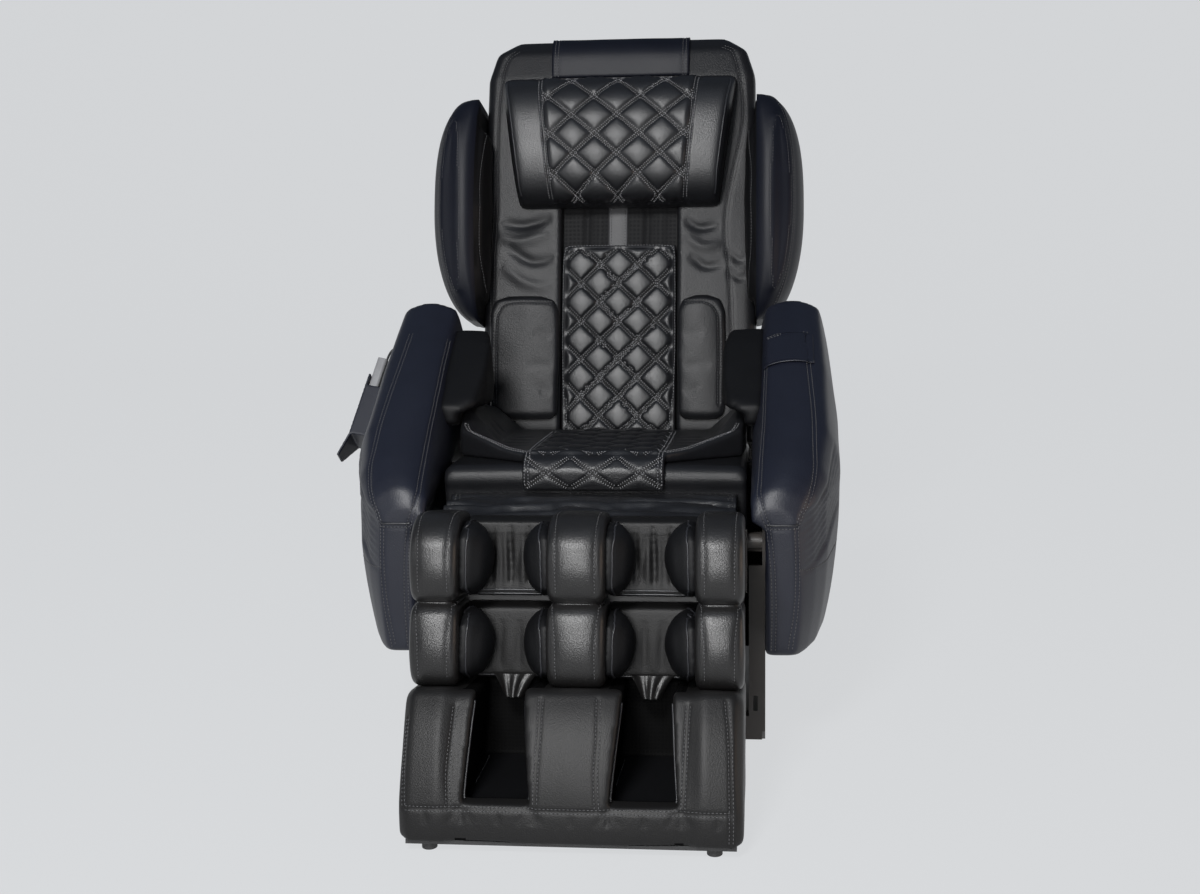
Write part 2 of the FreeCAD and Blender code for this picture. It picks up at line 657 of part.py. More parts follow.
def make_seat_overlay():
    """Quilted overlay: flat in the middle, with raised sides that sweep back from its front edge."""
    front = size("seat_front + roll_depth * 2")
    rear = size("seat_rear") - 8
    wide = size("overlay_half_width")
    rise = size("overlay_side_rise")
    thick = size("overlay_thickness")
    rings = []
    for share, half, lift in ((0, size("overlay_front_half_width"), 1), (0.1, wide * 0.66, 6),
                              (0.26, wide * 0.98, rise * 0.5), (0.42, wide, rise),
                              (0.7, wide, rise * 0.95), (1, wide * 0.96, rise * 0.7)):
        back = front + share * (rear - front)
        low = seat_surface(back) + 3.6
        flat = half * 0.74
        corners = [(-half, low), (half, low), (half, low + thick + lift - 3),
                   (half - 9, low + thick + lift), (flat, low + thick), (-flat, low + thick),
                   (9 - half, low + thick + lift), (-half, low + thick + lift - 3)]
        rings.append(ring("XZ", back, corners, (0, 0, 0, 0, 0, 0, 0, 0)))
    thin = thick - 3
    top = size("seat_top_front")
    roll = size("seat_front") + size("roll_depth") * 0.4
    inside = [(front + 1, top + 3.6), (front - 12, top + 2.4), (roll, top - 8), (roll, top - 22),
              (roll + 4, top - size("roll_height") + 2)]
    outside = [(front + 1, top + 3.6 + thick), (front - 20, top + thin), (roll - thin, top),
               (roll - thin, top - 22), (roll + 4 - thin, top - size("roll_height"))]
    corners = inside + outside[::-1]
    straight = (0,) * len(corners)
    half = size("overlay_front_half_width")
    lip = loft([ring("YZ", -half, corners, straight), ring("YZ", half, corners, straight)])
    overlay = loft(rings).fuse(lip).removeSplitter()

    def on_overlay(across, back):
        return Vector(across, back, seat_surface(back) + 3.6 + thick)

    edge = size("stitch_width")
    overlay = quilted(overlay, (edge - half, half - edge, front + edge, rear - edge * 5), on_overlay,
                      Vector(0, 0, 1), 4)
    feature("seat_overlay", overlay, BASE)


def make_front_apron():
    """Soft apron from under the seat's front roll to the top of the calf unit."""
    body = new_body("front_apron")
    high = "seat_top_front - roll_height"
    near = "seat_front + roll_depth - soft_gap"
    far = "leg_hinge_back - calf_back + 24"
    upper = []
    lower = []
    count = 6
    for number in range(count + 1):
        back = f"({near}) + (({far}) - ({near})) * {number / count:.4f}"
        fold = "fold_depth" if number % 2 else "0"
        drop = f"apron_thickness * {0.5 + 1.3 * number / count:.4f}"
        upper.append((back, f"{high} - {drop} - {fold}"))
        lower.append((back, f"{high} - {drop} - {fold} - apron_thickness"))
    add_pad(body, "YZ", upper + lower[::-1], "-apron_half_width", "apron_half_width")
    keep(body, "front_apron", BASE)


# Arms

def arm_top(back):
    """Height of the arm's top edge at a place back from the front."""
    share = (back - size("arm_front")) / size("arm_top_back - arm_front")
    if share < 1:
        return size("arm_top_front") + share * size("arm_top_rear - arm_top_front")
    past = (back - size("arm_top_back")) / size("arm_rear - arm_top_back")
    return size("arm_top_rear") - past * past * size("arm_top_rear") * 0.3


def arm_cover_shape():
    """Right arm: a narrow front strip that swells into a wide rounded armrest."""
    front, rear = size("arm_front"), size("arm_rear")
    inner, inner_top = size("arm_inner"), size("arm_inner_top")
    strip = size("arm_strip_width")
    full = size("arm_outer") - inner
    low = size("arm_bottom")
    waist = size("arm_strip_top")
    rings = []
    # share of the length, width share, lower width share, drop of the top, rise of the bottom
    for share, width, low_width, drop, lift in (
            (0.0, 0.34, 0.36, 26, 6), (0.025, 0.46, 0.42, 8, 1), (0.06, 0.6, 0.5, 4, 0),
            (0.13, 0.78, 0.62, 1, 0), (0.28, 0.94, 0.74, 0, 0), (0.55, 0.97, 0.78, 0, 0),
            (0.83, 0.93, 0.74, 0, 4), (0.93, 0.82, 0.66, 8, 12), (1.0, 0.6, 0.52, 22, 26)):
        back = front + share * (rear - front)
        top = arm_top(back) - drop
        bend = min(waist + share * 60, top - 40)
        out = inner + max(full * width, strip * (0.8 + share))
        out_low = inner + max(full * low_width, strip * 0.8)
        lean = (out - inner) * 0.16 + share * 6
        step = size("web_top") + 6
        corners = [(inner + 1, low + lift), (out_low, low + lift), (out, bend),
                   (out - lean, top - 12), (inner_top + lean, top - 12), (inner_top + 2, bend + 14),
                   (inner + 1, step)]
        rings.append(ring("XZ", back, corners, (0, 7, 8, 13, 6, 0, 0)))
    return loft(rings)


def arm_panel_outline():
    """Outline of the panel inside the arm, kept behind the cover."""
    inset = size("arm_panel_inset")
    low = size("arm_bottom") + inset
    front = size("arm_front") + inset * 2
    rear = size("arm_rear") - inset * 2
    top = size("arm_top_back")
    return [(front, low), (rear - inset, low), (rear, low + inset * 2),
            (rear, arm_top(rear) - inset * 3.4), (top, arm_top(top) - inset * 3),
            (front + inset, arm_top(front + inset) - inset * 3)]


ARM_BOSSES = (("web_front + 85", "arm_bottom + 50"), ("web_foot_rear - 50", "arm_bottom + 60"),
              ("(web_front + web_foot_rear) / 2", "web_waist - 30"))


def make_arms():
    """Each arm is a foam and leather cover over a panel whose bosses meet the base plate."""
    start = size("arm_inner") + 18
    end = start + size("arm_panel_thickness")
    plain = arm_cover_shape()
    outline = [Vector(start, back, up) for back, up in arm_panel_outline()]
    face = Part.Face(Part.makePolygon(outline + outline[:1]))
    panel = face.extrude(Vector(end - start, 0, 0))
    hollow_face = face.makeOffset2D(size("soft_gap"))
    hollow = hollow_face.extrude(Vector(end - start + 2 * size("soft_gap"), 0, 0))
    hollow.translate(Vector(-size("soft_gap"), 0, 0))
    cover = plain.cut(hollow)
    for back, up in ARM_BOSSES:
        near = Vector(size("web_inner + web_thickness"), size(back), size(up))
        far = Vector(start + 1, size(back), size(up))
        panel = panel.fuse(rod(size("boss_radius"), near, far))
        cover = cover.cut(rod(size("boss_radius + soft_gap"), near.sub(Vector(40, 0, 0)), far))
    panel = panel.removeSplitter()
    for side, word in ((1, "right"), (-1, "left")):
        feature(f"arm_panel_{word}", mirrored(panel, side), BASE)
        feature(f"arm_cover_{word}", mirrored(cover, side), BASE)
    return plain


def make_arm_air_pads(arm_shape):
    """Air pads on the inner side of the arms, leaning back with the armrest."""
    outer = size("arm_inner_top") + 26
    reach = size("side_pad_reach")
    low_inner = size("overlay_half_width") + 2
    rings = []
    for share, low, high, depth in ((0, 0.2, 0.66, 0.35), (0.08, 0.1, 0.74, 0.8), (0.4, 0.05, 0.86, 1),
                                    (0.75, 0.1, 0.92, 1), (0.95, 0.22, 0.92, 0.8), (1, 0.4, 0.8, 0.35)):
        back = size("arm_front") + 230 + share * 200
        floor = seat_surface(back) + size("overlay_thickness + overlay_side_rise") - 26
        ceiling = arm_top(back) - 16
        bottom = floor + low * (ceiling - floor)
        top = floor + high * (ceiling - floor)
        inner = size("arm_inner_top") - 2 - reach * depth
        waist = max(bottom + 6, min(floor + 34, top - 8))
        face = min(inner, low_inner - 4)
        corners = [(low_inner, bottom), (outer, bottom), (outer, top), (face, top), (face, waist),
                   (low_inner, waist)]
        rings.append(ring("XZ", back, corners, (0, 0, 2, 2, 0, 0)))
    near_arm = arm_shape.copy()
    near_arm.translate(Vector(-size("soft_gap"), 0, 0))
    shape = loft(rings).cut(near_arm)
    shape = max(shape.Solids, key=lambda solid: solid.Volume)
    for side, word in ((1, "right"), (-1, "left")):
        feature(f"arm_air_pad_{word}", mirrored(shape, side), BASE)


# Remote pocket and handset

def pocket_place():
    """Frame of the handset: Z along it, X from the chair's left towards the arm, Y along its width."""
    along = Vector(26, 80, 100)
    along.normalize()
    width = Vector(0, along.z, -along.y)
    width.normalize()
    inward = width.cross(along)
    rotation = Rotation(inward, width, along, "ZYX")
    return Placement(Vector(-419, 722, 492), rotation)


POCKET = pocket_place()


def make_pocket(arm_shape):
    """Open leather pouch sewn to the left arm's flank, with a flap that hangs out at the bottom."""
    wall = size("pocket_wall")
    half = size("handset_thickness") / 2 + size("soft_gap")
    width = size("handset_width") / 2 + size("soft_gap")
    low, high = -size("handset_length") / 2 - wall - size("soft_gap"), size("handset_length") / 2 - 8
    reach = 34
    outer_panel = Part.Face(Part.makePolygon([
        Vector(-half - wall, -width - wall, low), Vector(-half - wall, width + wall, low),
        Vector(-half - wall, width + wall, high - 34), Vector(-half - wall, -width - wall, high - 28),
        Vector(-half - wall, -width - wall, low)])).extrude(Vector(wall, 0, 0))
    tip = loft([ring("XY", low, [(-half - wall, -width - wall), (-half, -width - wall),
                                 (-half, width + wall), (-half - wall, width + wall)], (0, 0, 0, 0)),
                ring("XY", low - 44, [(-half - wall - 9, -width - wall), (-half - 9, -width - wall),
                                      (-half - 9, 0), (-half - wall - 9, 0)], (0, 0, 0, 0))], True)
    floor = block(-half, reach, -width - wall, width + wall, low, low + wall)
    front = block(-half, reach, -width - wall, -width, low, high - 50)
    rear = block(-half, reach, width, width + wall, low, high - 20)
    shape = outer_panel.fuse([tip, floor, front, rear])
    place = POCKET
    shape = shape.transformGeometry(place.toMatrix())
    arm = mirrored(arm_shape, -1)
    shape = shape.cut(arm).removeSplitter()
    largest = max(shape.Solids, key=lambda solid: solid.Volume)
    feature("remote_pocket", largest, BASE)


def make_handset():
    body = new_body("handset_case")
    half = "handset_length / 2"
    pad = add_block(body, ("-handset_thickness / 2", "handset_thickness / 2"),
                    ("-handset_width / 2", "handset_width / 2"), (f"-{half}", half))
    round_edges(body, pad, "handset_thickness * 0.3",
                lambda middle, edge: abs(edge.tangentAt(edge.FirstParameter).z) > 0.9)
    seat = [("0", f"{half} - 22", "button_radius + guide_gap")]
    add_pocket(body, "YZ", seat, "-handset_thickness / 2 - 1", "-handset_thickness / 2 + button_travel * 3")
    add_pad(body, "XY", [("0", "0", "cord_diameter * 0.9")], f"{half} - 1", f"{half} + strain_relief")
    keep(body, "handset_case", POCKET)
    button = new_body("handset_button")
    add_pad(button, "YZ", [("0", f"{half} - 22", "button_radius")],
            "-handset_thickness / 2 - 1", "-handset_thickness / 2 + button_travel * 1.5")
    keep(button, "handset_button", POCKET)


def pocket_point(inward, width, along):
    return POCKET.multVec(Vector(inward, width, along))


def cord_route():
    """Cord from the handset's top, over in a tight loop and down behind it to the put-away hank."""
    top = size("handset_length / 2 + strain_relief")
    back = size("handset_thickness") / 2 + 6
    side = size("hank_half_width")
    return [pocket_point(0, 0, top), pocket_point(0, 0, top + 14), pocket_point(5, 0, top + 27),
            pocket_point(14, 2, top + 27), pocket_point(back + 4, 4, top + 13),
            pocket_point(back, 8, top - 9), pocket_point(back + 0.6, 14, top - 32),
            pocket_point(back - 1, 21, top - 54), pocket_point(back - 2, side, top - 75),
            pocket_point(back - 2, side, top - 96)]


def rounded_path(points):
    """Straight runs joined by tangent arcs, each as large as its two runs allow."""
    edges = []
    radii = []
    length = 0
    last = points[0]
    for before, corner, after in zip(points, points[1:], points[2:]):
        come = corner.sub(before)
        leave = after.sub(corner)
        half = come.getAngle(leave) / 2
        cut = 0.45 * min(come.Length, leave.Length)
        radius = cut / math.tan(half)
        come.normalize()
        leave.normalize()
        start = corner.sub(Vector(come).multiply(cut))
        end = corner.add(Vector(leave).multiply(cut))
        inward = leave.sub(come)
        inward.normalize()
        middle = corner.add(inward.multiply(radius / math.cos(half) - radius))
        edges.append(Part.LineSegment(last, start).toShape())
        edges.append(Part.Arc(start, middle, end).toShape())
        radii.append(round(radius, 1))
        length += last.sub(start).Length + 2 * half * radius
        last = end
    edges.append(Part.LineSegment(last, points[-1]).toShape())
    length += last.sub(points[-1]).Length
    return Part.Wire(edges), radii, length


def make_cord():
    """The cord's free stretch and the hank of its put-away length."""
    points = cord_route()
    radius = size("cord_diameter") / 2
    path, radii, length = rounded_path(points)
    profile = Part.Wire(Part.makeCircle(radius, points[0], points[1].sub(points[0])))
    tube = path.makePipeShell([profile], True, False)
    section = math.pi * radius * radius
    print("cord radii", radii, "length", round(length, 1),
          "volume share", round(tube.Volume / (section * length), 4))
    feature("handset_cord", tube, BASE)
    make_hank(points[-1], radius)


def hank_path(u_start, depth_start, top):
    """Path of the hank: it spirals in on one layer, climbs along a run and spirals out on the next."""
    pitch, run = size("hank_pitch"), size("hank_run")
    turns = int(size("hank_turns"))
    edges = []
    samples = []

    def put(across, deep, up):
        return POCKET.multVec(Vector(deep, across, up))

    def line(start, end):
        edges.append(Part.LineSegment(put(*start), put(*end)).toShape())

    def arc(start, middle, end):
        edges.append(Part.Arc(put(*start), put(*middle), put(*end)).toShape())

    high, low = top, top - run
    deep = depth_start
    across = u_start
    line((across, deep, top + size("cord_diameter")), (across, deep, high))
    growth = -1
    for half_turn in range(4 * turns):
        going_down = half_turn % 2 == 0
        start_up, end_up = (high, low) if going_down else (low, high)
        if half_turn == 2 * turns:
            growth = 1
            middle = (across, deep + pitch / 2, (high + low) / 2)
            quarter = (across, deep + pitch * 0.13, high - run * 0.25)
            arc((across, deep, start_up), quarter, middle)
            arc(middle, (across, deep + pitch * 0.87, high - run * 0.75), (across, deep + pitch, end_up))
            deep += pitch
        else:
            line((across, deep, start_up), (across, deep, end_up))
        other = -math.copysign(abs(across) + growth * pitch / 2, across)
        bend = (abs(across) + abs(other)) / 2
        centre = (across + other) / 2
        tip = end_up - bend if going_down else end_up + bend
        arc((across, deep, end_up), (centre, deep, tip), (other, deep, end_up))
        across = other
    line((across, deep, high), (across, deep, (high + low) / 2))
    wire = Part.Wire(edges)
    for edge in edges:
        samples.append(edge.discretize(24)[:-1])
    return wire, samples


def least_gap(samples, diameter):
    """Smallest gap between parts of a tube that aren't next to each other along it."""
    least = None
    for index, run in enumerate(samples):
        for other in samples[index + 2:]:
            for point in run:
                for place in other:
                    gap = point.sub(place).Length - diameter
                    least = gap if least is None else min(least, gap)
    return least


def make_hank(start, radius):
    """The cord's put-away length, wound in two layers behind the handset."""
    place = POCKET.inverse().multVec(start)
    wire, samples = hank_path(place.y, place.x, place.z - 2 * radius)
    first = wire.OrderedVertexes[0].Point
    profile = Part.Wire(Part.makeCircle(radius, start, POCKET.Rotation.multVec(Vector(0, 0, -1))))
    tube = wire.makePipeShell([profile], True, False)
    print("hank length", round(wire.Length, 1), "least gap", round(least_gap(samples, 2 * radius), 2),
          "volume share", round(tube.Volume / (math.pi * radius * radius * wire.Length), 4),
          "start", round(first.sub(start).Length, 4))
    feature("cord_hank", tube, BASE)


# Leg and foot unit, drawn in the leg's frame: Y is minus the reach out from the hinge,
# Z is minus the distance down the leg.

def leg_down_to_floor(reach, height):
    """Distance down the leg at which a point with this reach lies at this height."""
    angle = math.radians(size("leg_rest_angle"))
    return (size("leg_hinge_up") - height + reach * math.sin(angle)) / math.cos(angle)


def calf_pad_rings(left, right, top, bottom, round_top):
    """A calf pad between two places across: flat back, rounded front with sewn side edges."""
    back, front = -size("calf_back"), -size("calf_front")
    rings = []
    for share, inset in ((0, 7), (0.07, 1.5), (0.3, 0), (0.7, 0), (0.93, 1.5), (1, 7)):
        place = left + share * (right - left)
        high, low = top - inset, bottom + inset
        face = front + inset
        shoulder = (high - low) * (0.42 if round_top else 0.16)
        corners = [(back, low), (face + 16, low), (face, low + 16), (face, high - shoulder),
                   (face + shoulder * 0.9, high), (back, high)]
        rings.append(ring("YZ", place, corners, (0, 4, 3, shoulder * 0.24, 1.5, 0)))
    return rings


def calf_rows():
    """Top and bottom of the two rows of pads in the leg's frame."""
    top = size("calf_top_rise")
    middle = top - size("calf_pitch") - 3
    return ((top, middle, True), (middle - size("calf_row_gap"), middle - size("calf_pitch"), False))


def make_calf_pads():
    half = size("calf_half_width")
    width = size("calf_pad_width")
    inner = size("calf_middle_half_width")
    for name, left, right in (("calf_pads_left", -half, width - half),
                              ("calf_pads_middle", -inner, inner),
                              ("calf_pads_right", half - width, half)):
        pads = [loft(calf_pad_rings(left, right, top, bottom, rounded))
                for top, bottom, rounded in calf_rows()]
        feature(name, Part.makeCompound(pads), LEG)


def make_calf_leaves_and_lining():
    """Air leaves that line both sides of each channel, and the padded back of the channels."""
    gap = size("soft_gap")
    thick = size("leaf_thickness")
    middle = size("calf_middle_half_width") + gap
    outer = size("calf_half_width - calf_pad_width") - gap
    back = -size("calf_back") - size("lining_thickness") - gap - 3
    leaves = []
    linings = []
    for top, bottom, rounded in calf_rows():
        for side in (1, -1):
            for start, end in ((middle, middle + thick), (outer, outer - thick)):
                rings = []
                for share, low, high, reach in ((0, 6, 14, 0.86), (0.6, 9, 18, 0.8), (1, 20, 30, 0.6)):
                    place = start + share * (end - start)
                    face = back - (size("calf_front - calf_back - lining_thickness") - 8) * reach
                    corners = [(back, bottom + low), (face, bottom + low + 12),
                               (face, top - high - 20), (back, top - high)]
                    rings.append(ring("YZ", place, corners, (0, 4, 6, 0)))
                leaves.append(mirrored(loft(rings), side))
            rings = []
            for share, inset in ((0, 5), (0.12, 0), (0.88, 0), (1, 5)):
                place = middle + share * (outer - middle)
                rear = -size("calf_back")
                corners = [(rear, bottom + 2), (rear - size("lining_thickness") + inset, bottom + 3),
                           (rear - size("lining_thickness") + inset, top - 14), (rear, top - 6)]
                rings.append(ring("YZ", place, corners, (0, 2, 3, 0)))
            lining = loft(rings)
            for share in (0.3, 0.5, 0.7):
                place = middle + share * (outer - middle)
                face = -size("calf_back") - size("lining_thickness") - 1
                pleat = [Vector(place, face, bottom + 20 * rounded), Vector(place, face, top - 18)]
                if rounded:
                    lining = lining.cut(sewn_channel(pleat, Vector(0, -1, 0)))
            linings.append(mirrored(lining, side))
    feature("calf_air_leaves", Part.makeCompound(leaves), LEG)
    feature("calf_lining", Part.makeCompound(linings), LEG)


def make_calf_shell():
    """Hollow rigid shell behind the calf pads."""
    body = new_body("calf_shell")
    low = "-(calf_pitch * 2 - calf_top_rise)"
    add_block(body, ("-calf_half_width", "calf_half_width"), ("-calf_back + soft_gap", "-calf_shell_back"),
              (low, "calf_shell_rise"))
    wall = "foot_shell_thickness"
    inside = rectangle(f"-calf_half_width + {wall}", f"calf_half_width - {wall}",
                       f"{low} + {wall}", f"calf_shell_rise - {wall}")
    add_pocket(body, "XZ", inside, f"-calf_back + soft_gap + {wall}", f"-calf_shell_back - {wall}")
    keep(body, "calf_shell", LEG)


def make_leg_frame():
    """Leg frame: hinge plates, a cross tube, guide tubes for the foot unit and the lift lever."""
    body = new_body("leg_frame")
    inner = "web_inner - flange_width - moving_gap - ear_thickness"
    rear = "-calf_shell_back + guide_gap"
    for side in (1, -1):
        plate = [("hinge_pad_radius * 0.8", "-hinge_pad_radius * 0.6"),
                 ("hinge_pad_radius * 0.8", "hinge_pad_radius * 0.6"),
                 (rear, "calf_shell_rise - 2"), (rear, "-calf_pitch * 0.6")]
        add_pad(body, "YZ", plate, *both(inner, f"{inner} + ear_thickness", side))
    tube_middle = f"{rear} + foot_tube_radius"
    add_pad(body, "YZ", [(tube_middle, "-foot_tube_radius * 2", "foot_tube_radius")],
            f"-({inner}) - 1", f"{inner} + 1")
    for side in ("", "-"):
        add_pad(body, "XY", [(f"{side}foot_slide_offset", tube_middle, "foot_tube_radius")],
                "-calf_pitch * 1.5", "0")
    for side in ("", "-"):
        add_pocket(body, "XY", [(f"{side}foot_slide_offset", tube_middle,
                                 "foot_slide_radius + shaft_gap")], "-calf_pitch * 1.5 - 1", "1")
    angle = math.radians(LEG_LEVER_ANGLE + size("leg_rest_angle"))
    along, down = math.sin(angle), math.cos(angle)
    low = f"leg_lever * {down:.6f}"
    back = f"leg_lever * {along:.6f}"
    lever = [(tube_middle, "0"), ("hinge_pad_radius", "0"), (f"{back} + 9", f"-({low}) - 2"),
             (f"{back} - 9", f"-({low}) - 8"), (tube_middle, "-foot_tube_radius * 2")]
    near = "-lever_offset - lever_thickness / 2"
    far = "-lever_offset + lever_thickness / 2"
    add_pad(body, "YZ", lever, near, far)
    pin = [(back, f"-({low})", "lever_pin_radius")]
    add_pad(body, "YZ", pin, f"{near} - rod_radius - 1", f"{far} + rod_radius + 1")
    add_pocket(body, "YZ", [("0", "0", "shaft_radius + shaft_gap")], "-web_inner", "web_inner")
    keep(body, "leg_frame", LEG)


def foot_corners(trim):
    """Side outline of the foot cover in the leg's frame, trimmed all round."""
    rear = -size("calf_shell_back") - size("foot_shell_thickness + soft_gap") - 2
    top = calf_rows()[1][1] - size("moving_gap") - trim * 0.4
    low = size("foot_underside + foot_shell_thickness + soft_gap") + trim * 0.2
    front = size("foot_front_reach") - trim
    crest = trim - size("foot_top_reach")
    return [(rear, -leg_down_to_floor(-rear, low)), (6 - front, -leg_down_to_floor(front - 6, low)),
            (-front, -leg_down_to_floor(front, size("lip_height"))), (crest, top - 8 - trim * 0.5),
            (crest + 22, top + 4 - trim * 0.5), (crest + 38, top), (rear, top)]


def make_foot_cover():
    """Three padded lobes in one cover, with two wells for the feet."""
    half = size("foot_half_width")
    seam = size("well_outer") + 10
    rings = []
    for place, trim, bulge in ((-half, 12, 2), (12 - half, 2, 7), (-seam - 22, 0, 8), (-seam, 5, 5),
                               (-size("well_inner"), 1, 8), (0, 0, 9), (size("well_inner"), 1, 8),
                               (seam, 5, 5), (seam + 22, 0, 8), (half - 12, 2, 7), (half, 12, 2)):
        rings.append(ring("YZ", place, foot_corners(trim), (0, 2, bulge * 1.5, 4, 1, 0, 0)))
    cover = loft(rings)
    low = size("foot_floor")
    lip = size("lip_height")
    top = size("leg_hinge_up") - 80
    to_leg = LEG.inverse().toMatrix()

    def well_ring(height, forward):
        """Section of a well at a height above the floor, from a place back from the front."""
        share = (height - low) / (top - low)
        inner = size("well_inner") + share * size("well_inner_top - well_inner")
        outer = size("well_outer") + share * size("well_outer_top - well_outer")
        reach = size("well_back")
        back = LEG.multVec(Vector(0, -reach, -leg_down_to_floor(reach, height))).y
        return ring("XY", height, [(inner, forward), (outer, forward), (outer, back), (inner, back)],
                    (0, 0, 0, 0))

    well = loft([well_ring(low, 40), well_ring(top, 40)]).transformGeometry(to_leg)
    mouth = loft([well_ring(lip, -60), well_ring(top, -60)]).transformGeometry(to_leg)
    for side in (1, -1):
        cover = cover.cut([mirrored(well, side), mirrored(mouth, side)])
        cover = cover.cut(mirrored(foot_roller_space(), side))
    feature("foot_cover", cover, LEG)


def foot_roller_centre():
    """Axis of the foot rollers in the leg's frame, as reach and distance down."""
    reach = (size("well_back") + size("foot_front_reach")) / 2 - 20
    low = size("foot_floor") - size("foot_roller_radius") - 4
    return reach, leg_down_to_floor(reach, low)


def foot_roller_space():
    """Space under the well's floor in which the rollers turn."""
    reach, down = foot_roller_centre()
    room = size("foot_roller_radius") + 2.5
    space = block(size("well_inner") + 4, size("well_outer") - 4, -reach - room, -reach + room,
                  -down - room, -down + room)
    shaft = rod(size("foot_roller_radius") * 0.35 + 1, Vector(-1, -reach, -down),
                Vector(size("well_outer") + 12, -reach, -down))
    return space.fuse(shaft)


def make_foot_rollers():
    """One shaft across both wells with three ribbed rollers under each foot."""
    reach, down = foot_roller_centre()
    radius = size("foot_roller_radius")
    end = size("well_outer") + 11
    shape = rod(radius * 0.35, Vector(-end, -reach, -down), Vector(end, -reach, -down))
    width = (size("well_outer - well_inner") - 8) / 3
    for side in (1, -1):
        for number in range(3):
            start = size("well_inner") + 5 + number * width
            near = Vector(side * start, -reach, -down)
            far = Vector(side * (start + width - 4), -reach, -down)
            shape = shape.fuse(rod(radius, near, far))
    feature("foot_rollers", shape.removeSplitter(), LEG)


def make_foot_shell():
    """Plastic shell under and behind the foot cover, with the two slide rods."""
    thick = size("foot_shell_thickness")
    rear = -size("calf_shell_back") - 2
    half = size("foot_half_width") - 8
    front = size("foot_front_reach") - 14
    top = -(size("calf_pitch * 2 - calf_top_rise") + size("moving_gap") + 4)
    under = size("foot_underside")
    low_rear = -leg_down_to_floor(-rear, under)
    corners = [(rear, top), (rear, low_rear), (-front, -leg_down_to_floor(front, under)),
               (-front, -leg_down_to_floor(front, under + thick)),
               (rear - thick, -leg_down_to_floor(-rear + thick, under + thick)), (rear - thick, top)]
    face = Part.Face(Part.makePolygon([Vector(-half, *corner) for corner in corners + corners[:1]]))
    shape = face.extrude(Vector(2 * half, 0, 0))
    tube_middle = -size("calf_shell_back") + size("guide_gap") + size("foot_tube_radius")
    radius = size("foot_slide_radius")
    for side in (1, -1):
        across = side * size("foot_slide_offset")
        shape = shape.fuse(rod(radius, Vector(across, tube_middle, low_rear + 40),
                               Vector(across, tube_middle, -30)))
        shape = shape.fuse(block(across - 12, across + 12, rear - 1, tube_middle + radius,
                                 low_rear + 40, low_rear + 90))
    feature("foot_shell", shape.removeSplitter(), LEG)


def make_foot_glides():
    """Two small glides that the foot unit stands on, standing square to the floor."""
    radius = size("glide_radius")
    glides = []
    for side in (1, -1):
        foot = Vector(side * size("glide_offset"), size("glide_back"), 0)
        glides.append(Part.makeCylinder(radius, size("foot_underside"), foot))
    feature("foot_glides", Part.makeCompound(glides), BASE)


# Backrest, drawn in the backrest's frame

def make_back_frame():
    """Back frame: side rails, cross bars, hinge ears, roller rails and the recline lever."""
    body = new_body("back_frame")
    near = "cushion_back + soft_gap"
    far = f"{near} + side_rail_size"
    top = "back_top - 60"
    for side in (1, -1):
        across = both("side_rail_offset - side_rail_size / 2", "side_rail_offset + side_rail_size / 2", side)
        add_block(body, across, (near, far), ("0", top))
        if side > 0:
            for low in ("8", "channel_top + 4"):
                add_block(body, ("-side_rail_offset", "side_rail_offset"), (near, far),
                          (low, f"{low} + side_rail_size"))
    for side in (1, -1):
        across = both("roller_rail_offset", "roller_rail_offset + roller_rail_width", side)
        add_block(body, across, ("roller_rail_front", "roller_rail_front + roller_rail_depth"),
                  ("8", "channel_top + 8"))
    ear_low = "ear_offset - ear_thickness / 2"
    ear_high = "ear_offset + ear_thickness / 2"
    for side in (1, -1):
        ear = [("-hinge_pad_radius * 0.7", "-hinge_pad_radius * 0.7"),
               ("hinge_pad_radius * 0.7", "-hinge_pad_radius * 0.7"), (far, "side_rail_size / 2"),
               (far, "back_bottom - 4"), (near, "back_bottom - 4"), ("-hinge_pad_radius * 0.7", "10")]
        add_pad(body, "YZ", ear, *both(ear_low, ear_high, side))
        across = both("side_rail_offset", f"{ear_low} + 1", side)
        add_block(body, across, (near, far), ("12", "back_bottom - 6"))
    for low in ("8", "channel_top - side_rail_size"):
        add_block(body, ("-roller_rail_offset - 1", "roller_rail_offset + 1"),
                  ("screw_back - 14", "screw_back + 14"), (low, f"{low} + 10"))
        for side in (1, -1):
            across = both("roller_rail_offset - 6", "roller_rail_offset + roller_rail_width", side)
            add_block(body, across, ("roller_rail_front + roller_rail_depth - 1", "screw_back + 14"),
                      (low, f"{low} + 10"))
    add_pocket(body, "XY", [("0", "screw_back", "screw_radius + shaft_gap")], "7", "channel_top + 1")
    angle = math.radians(RECLINE_LEVER_ANGLE + size("back_rest_angle"))
    low = f"recline_lever * {math.cos(angle):.6f}"
    back = f"recline_lever * {math.sin(angle):.6f}"
    start = "lever_offset - lever_thickness / 2"
    end = "lever_offset + lever_thickness / 2"
    lever = [("-hinge_pad_radius * 0.8", "0"), (near, "20"), (far, "20"), (far, "8"),
             (f"{back} + 10", f"-({low}) - 4"), (f"{back} - 10", f"-({low}) - 6"),
             ("-hinge_pad_radius * 0.8", "-hinge_pad_radius * 0.5")]
    add_pad(body, "YZ", lever, start, end)
    pin = [(back, f"-({low})", "lever_pin_radius")]
    add_pad(body, "YZ", pin, f"{start} - rod_radius - 1", f"{end} + rod_radius + 1")
    add_pocket(body, "YZ", [("0", "0", "shaft_radius + shaft_gap")], "-web_inner", "web_inner")
    keep(body, "back_frame", BACK)


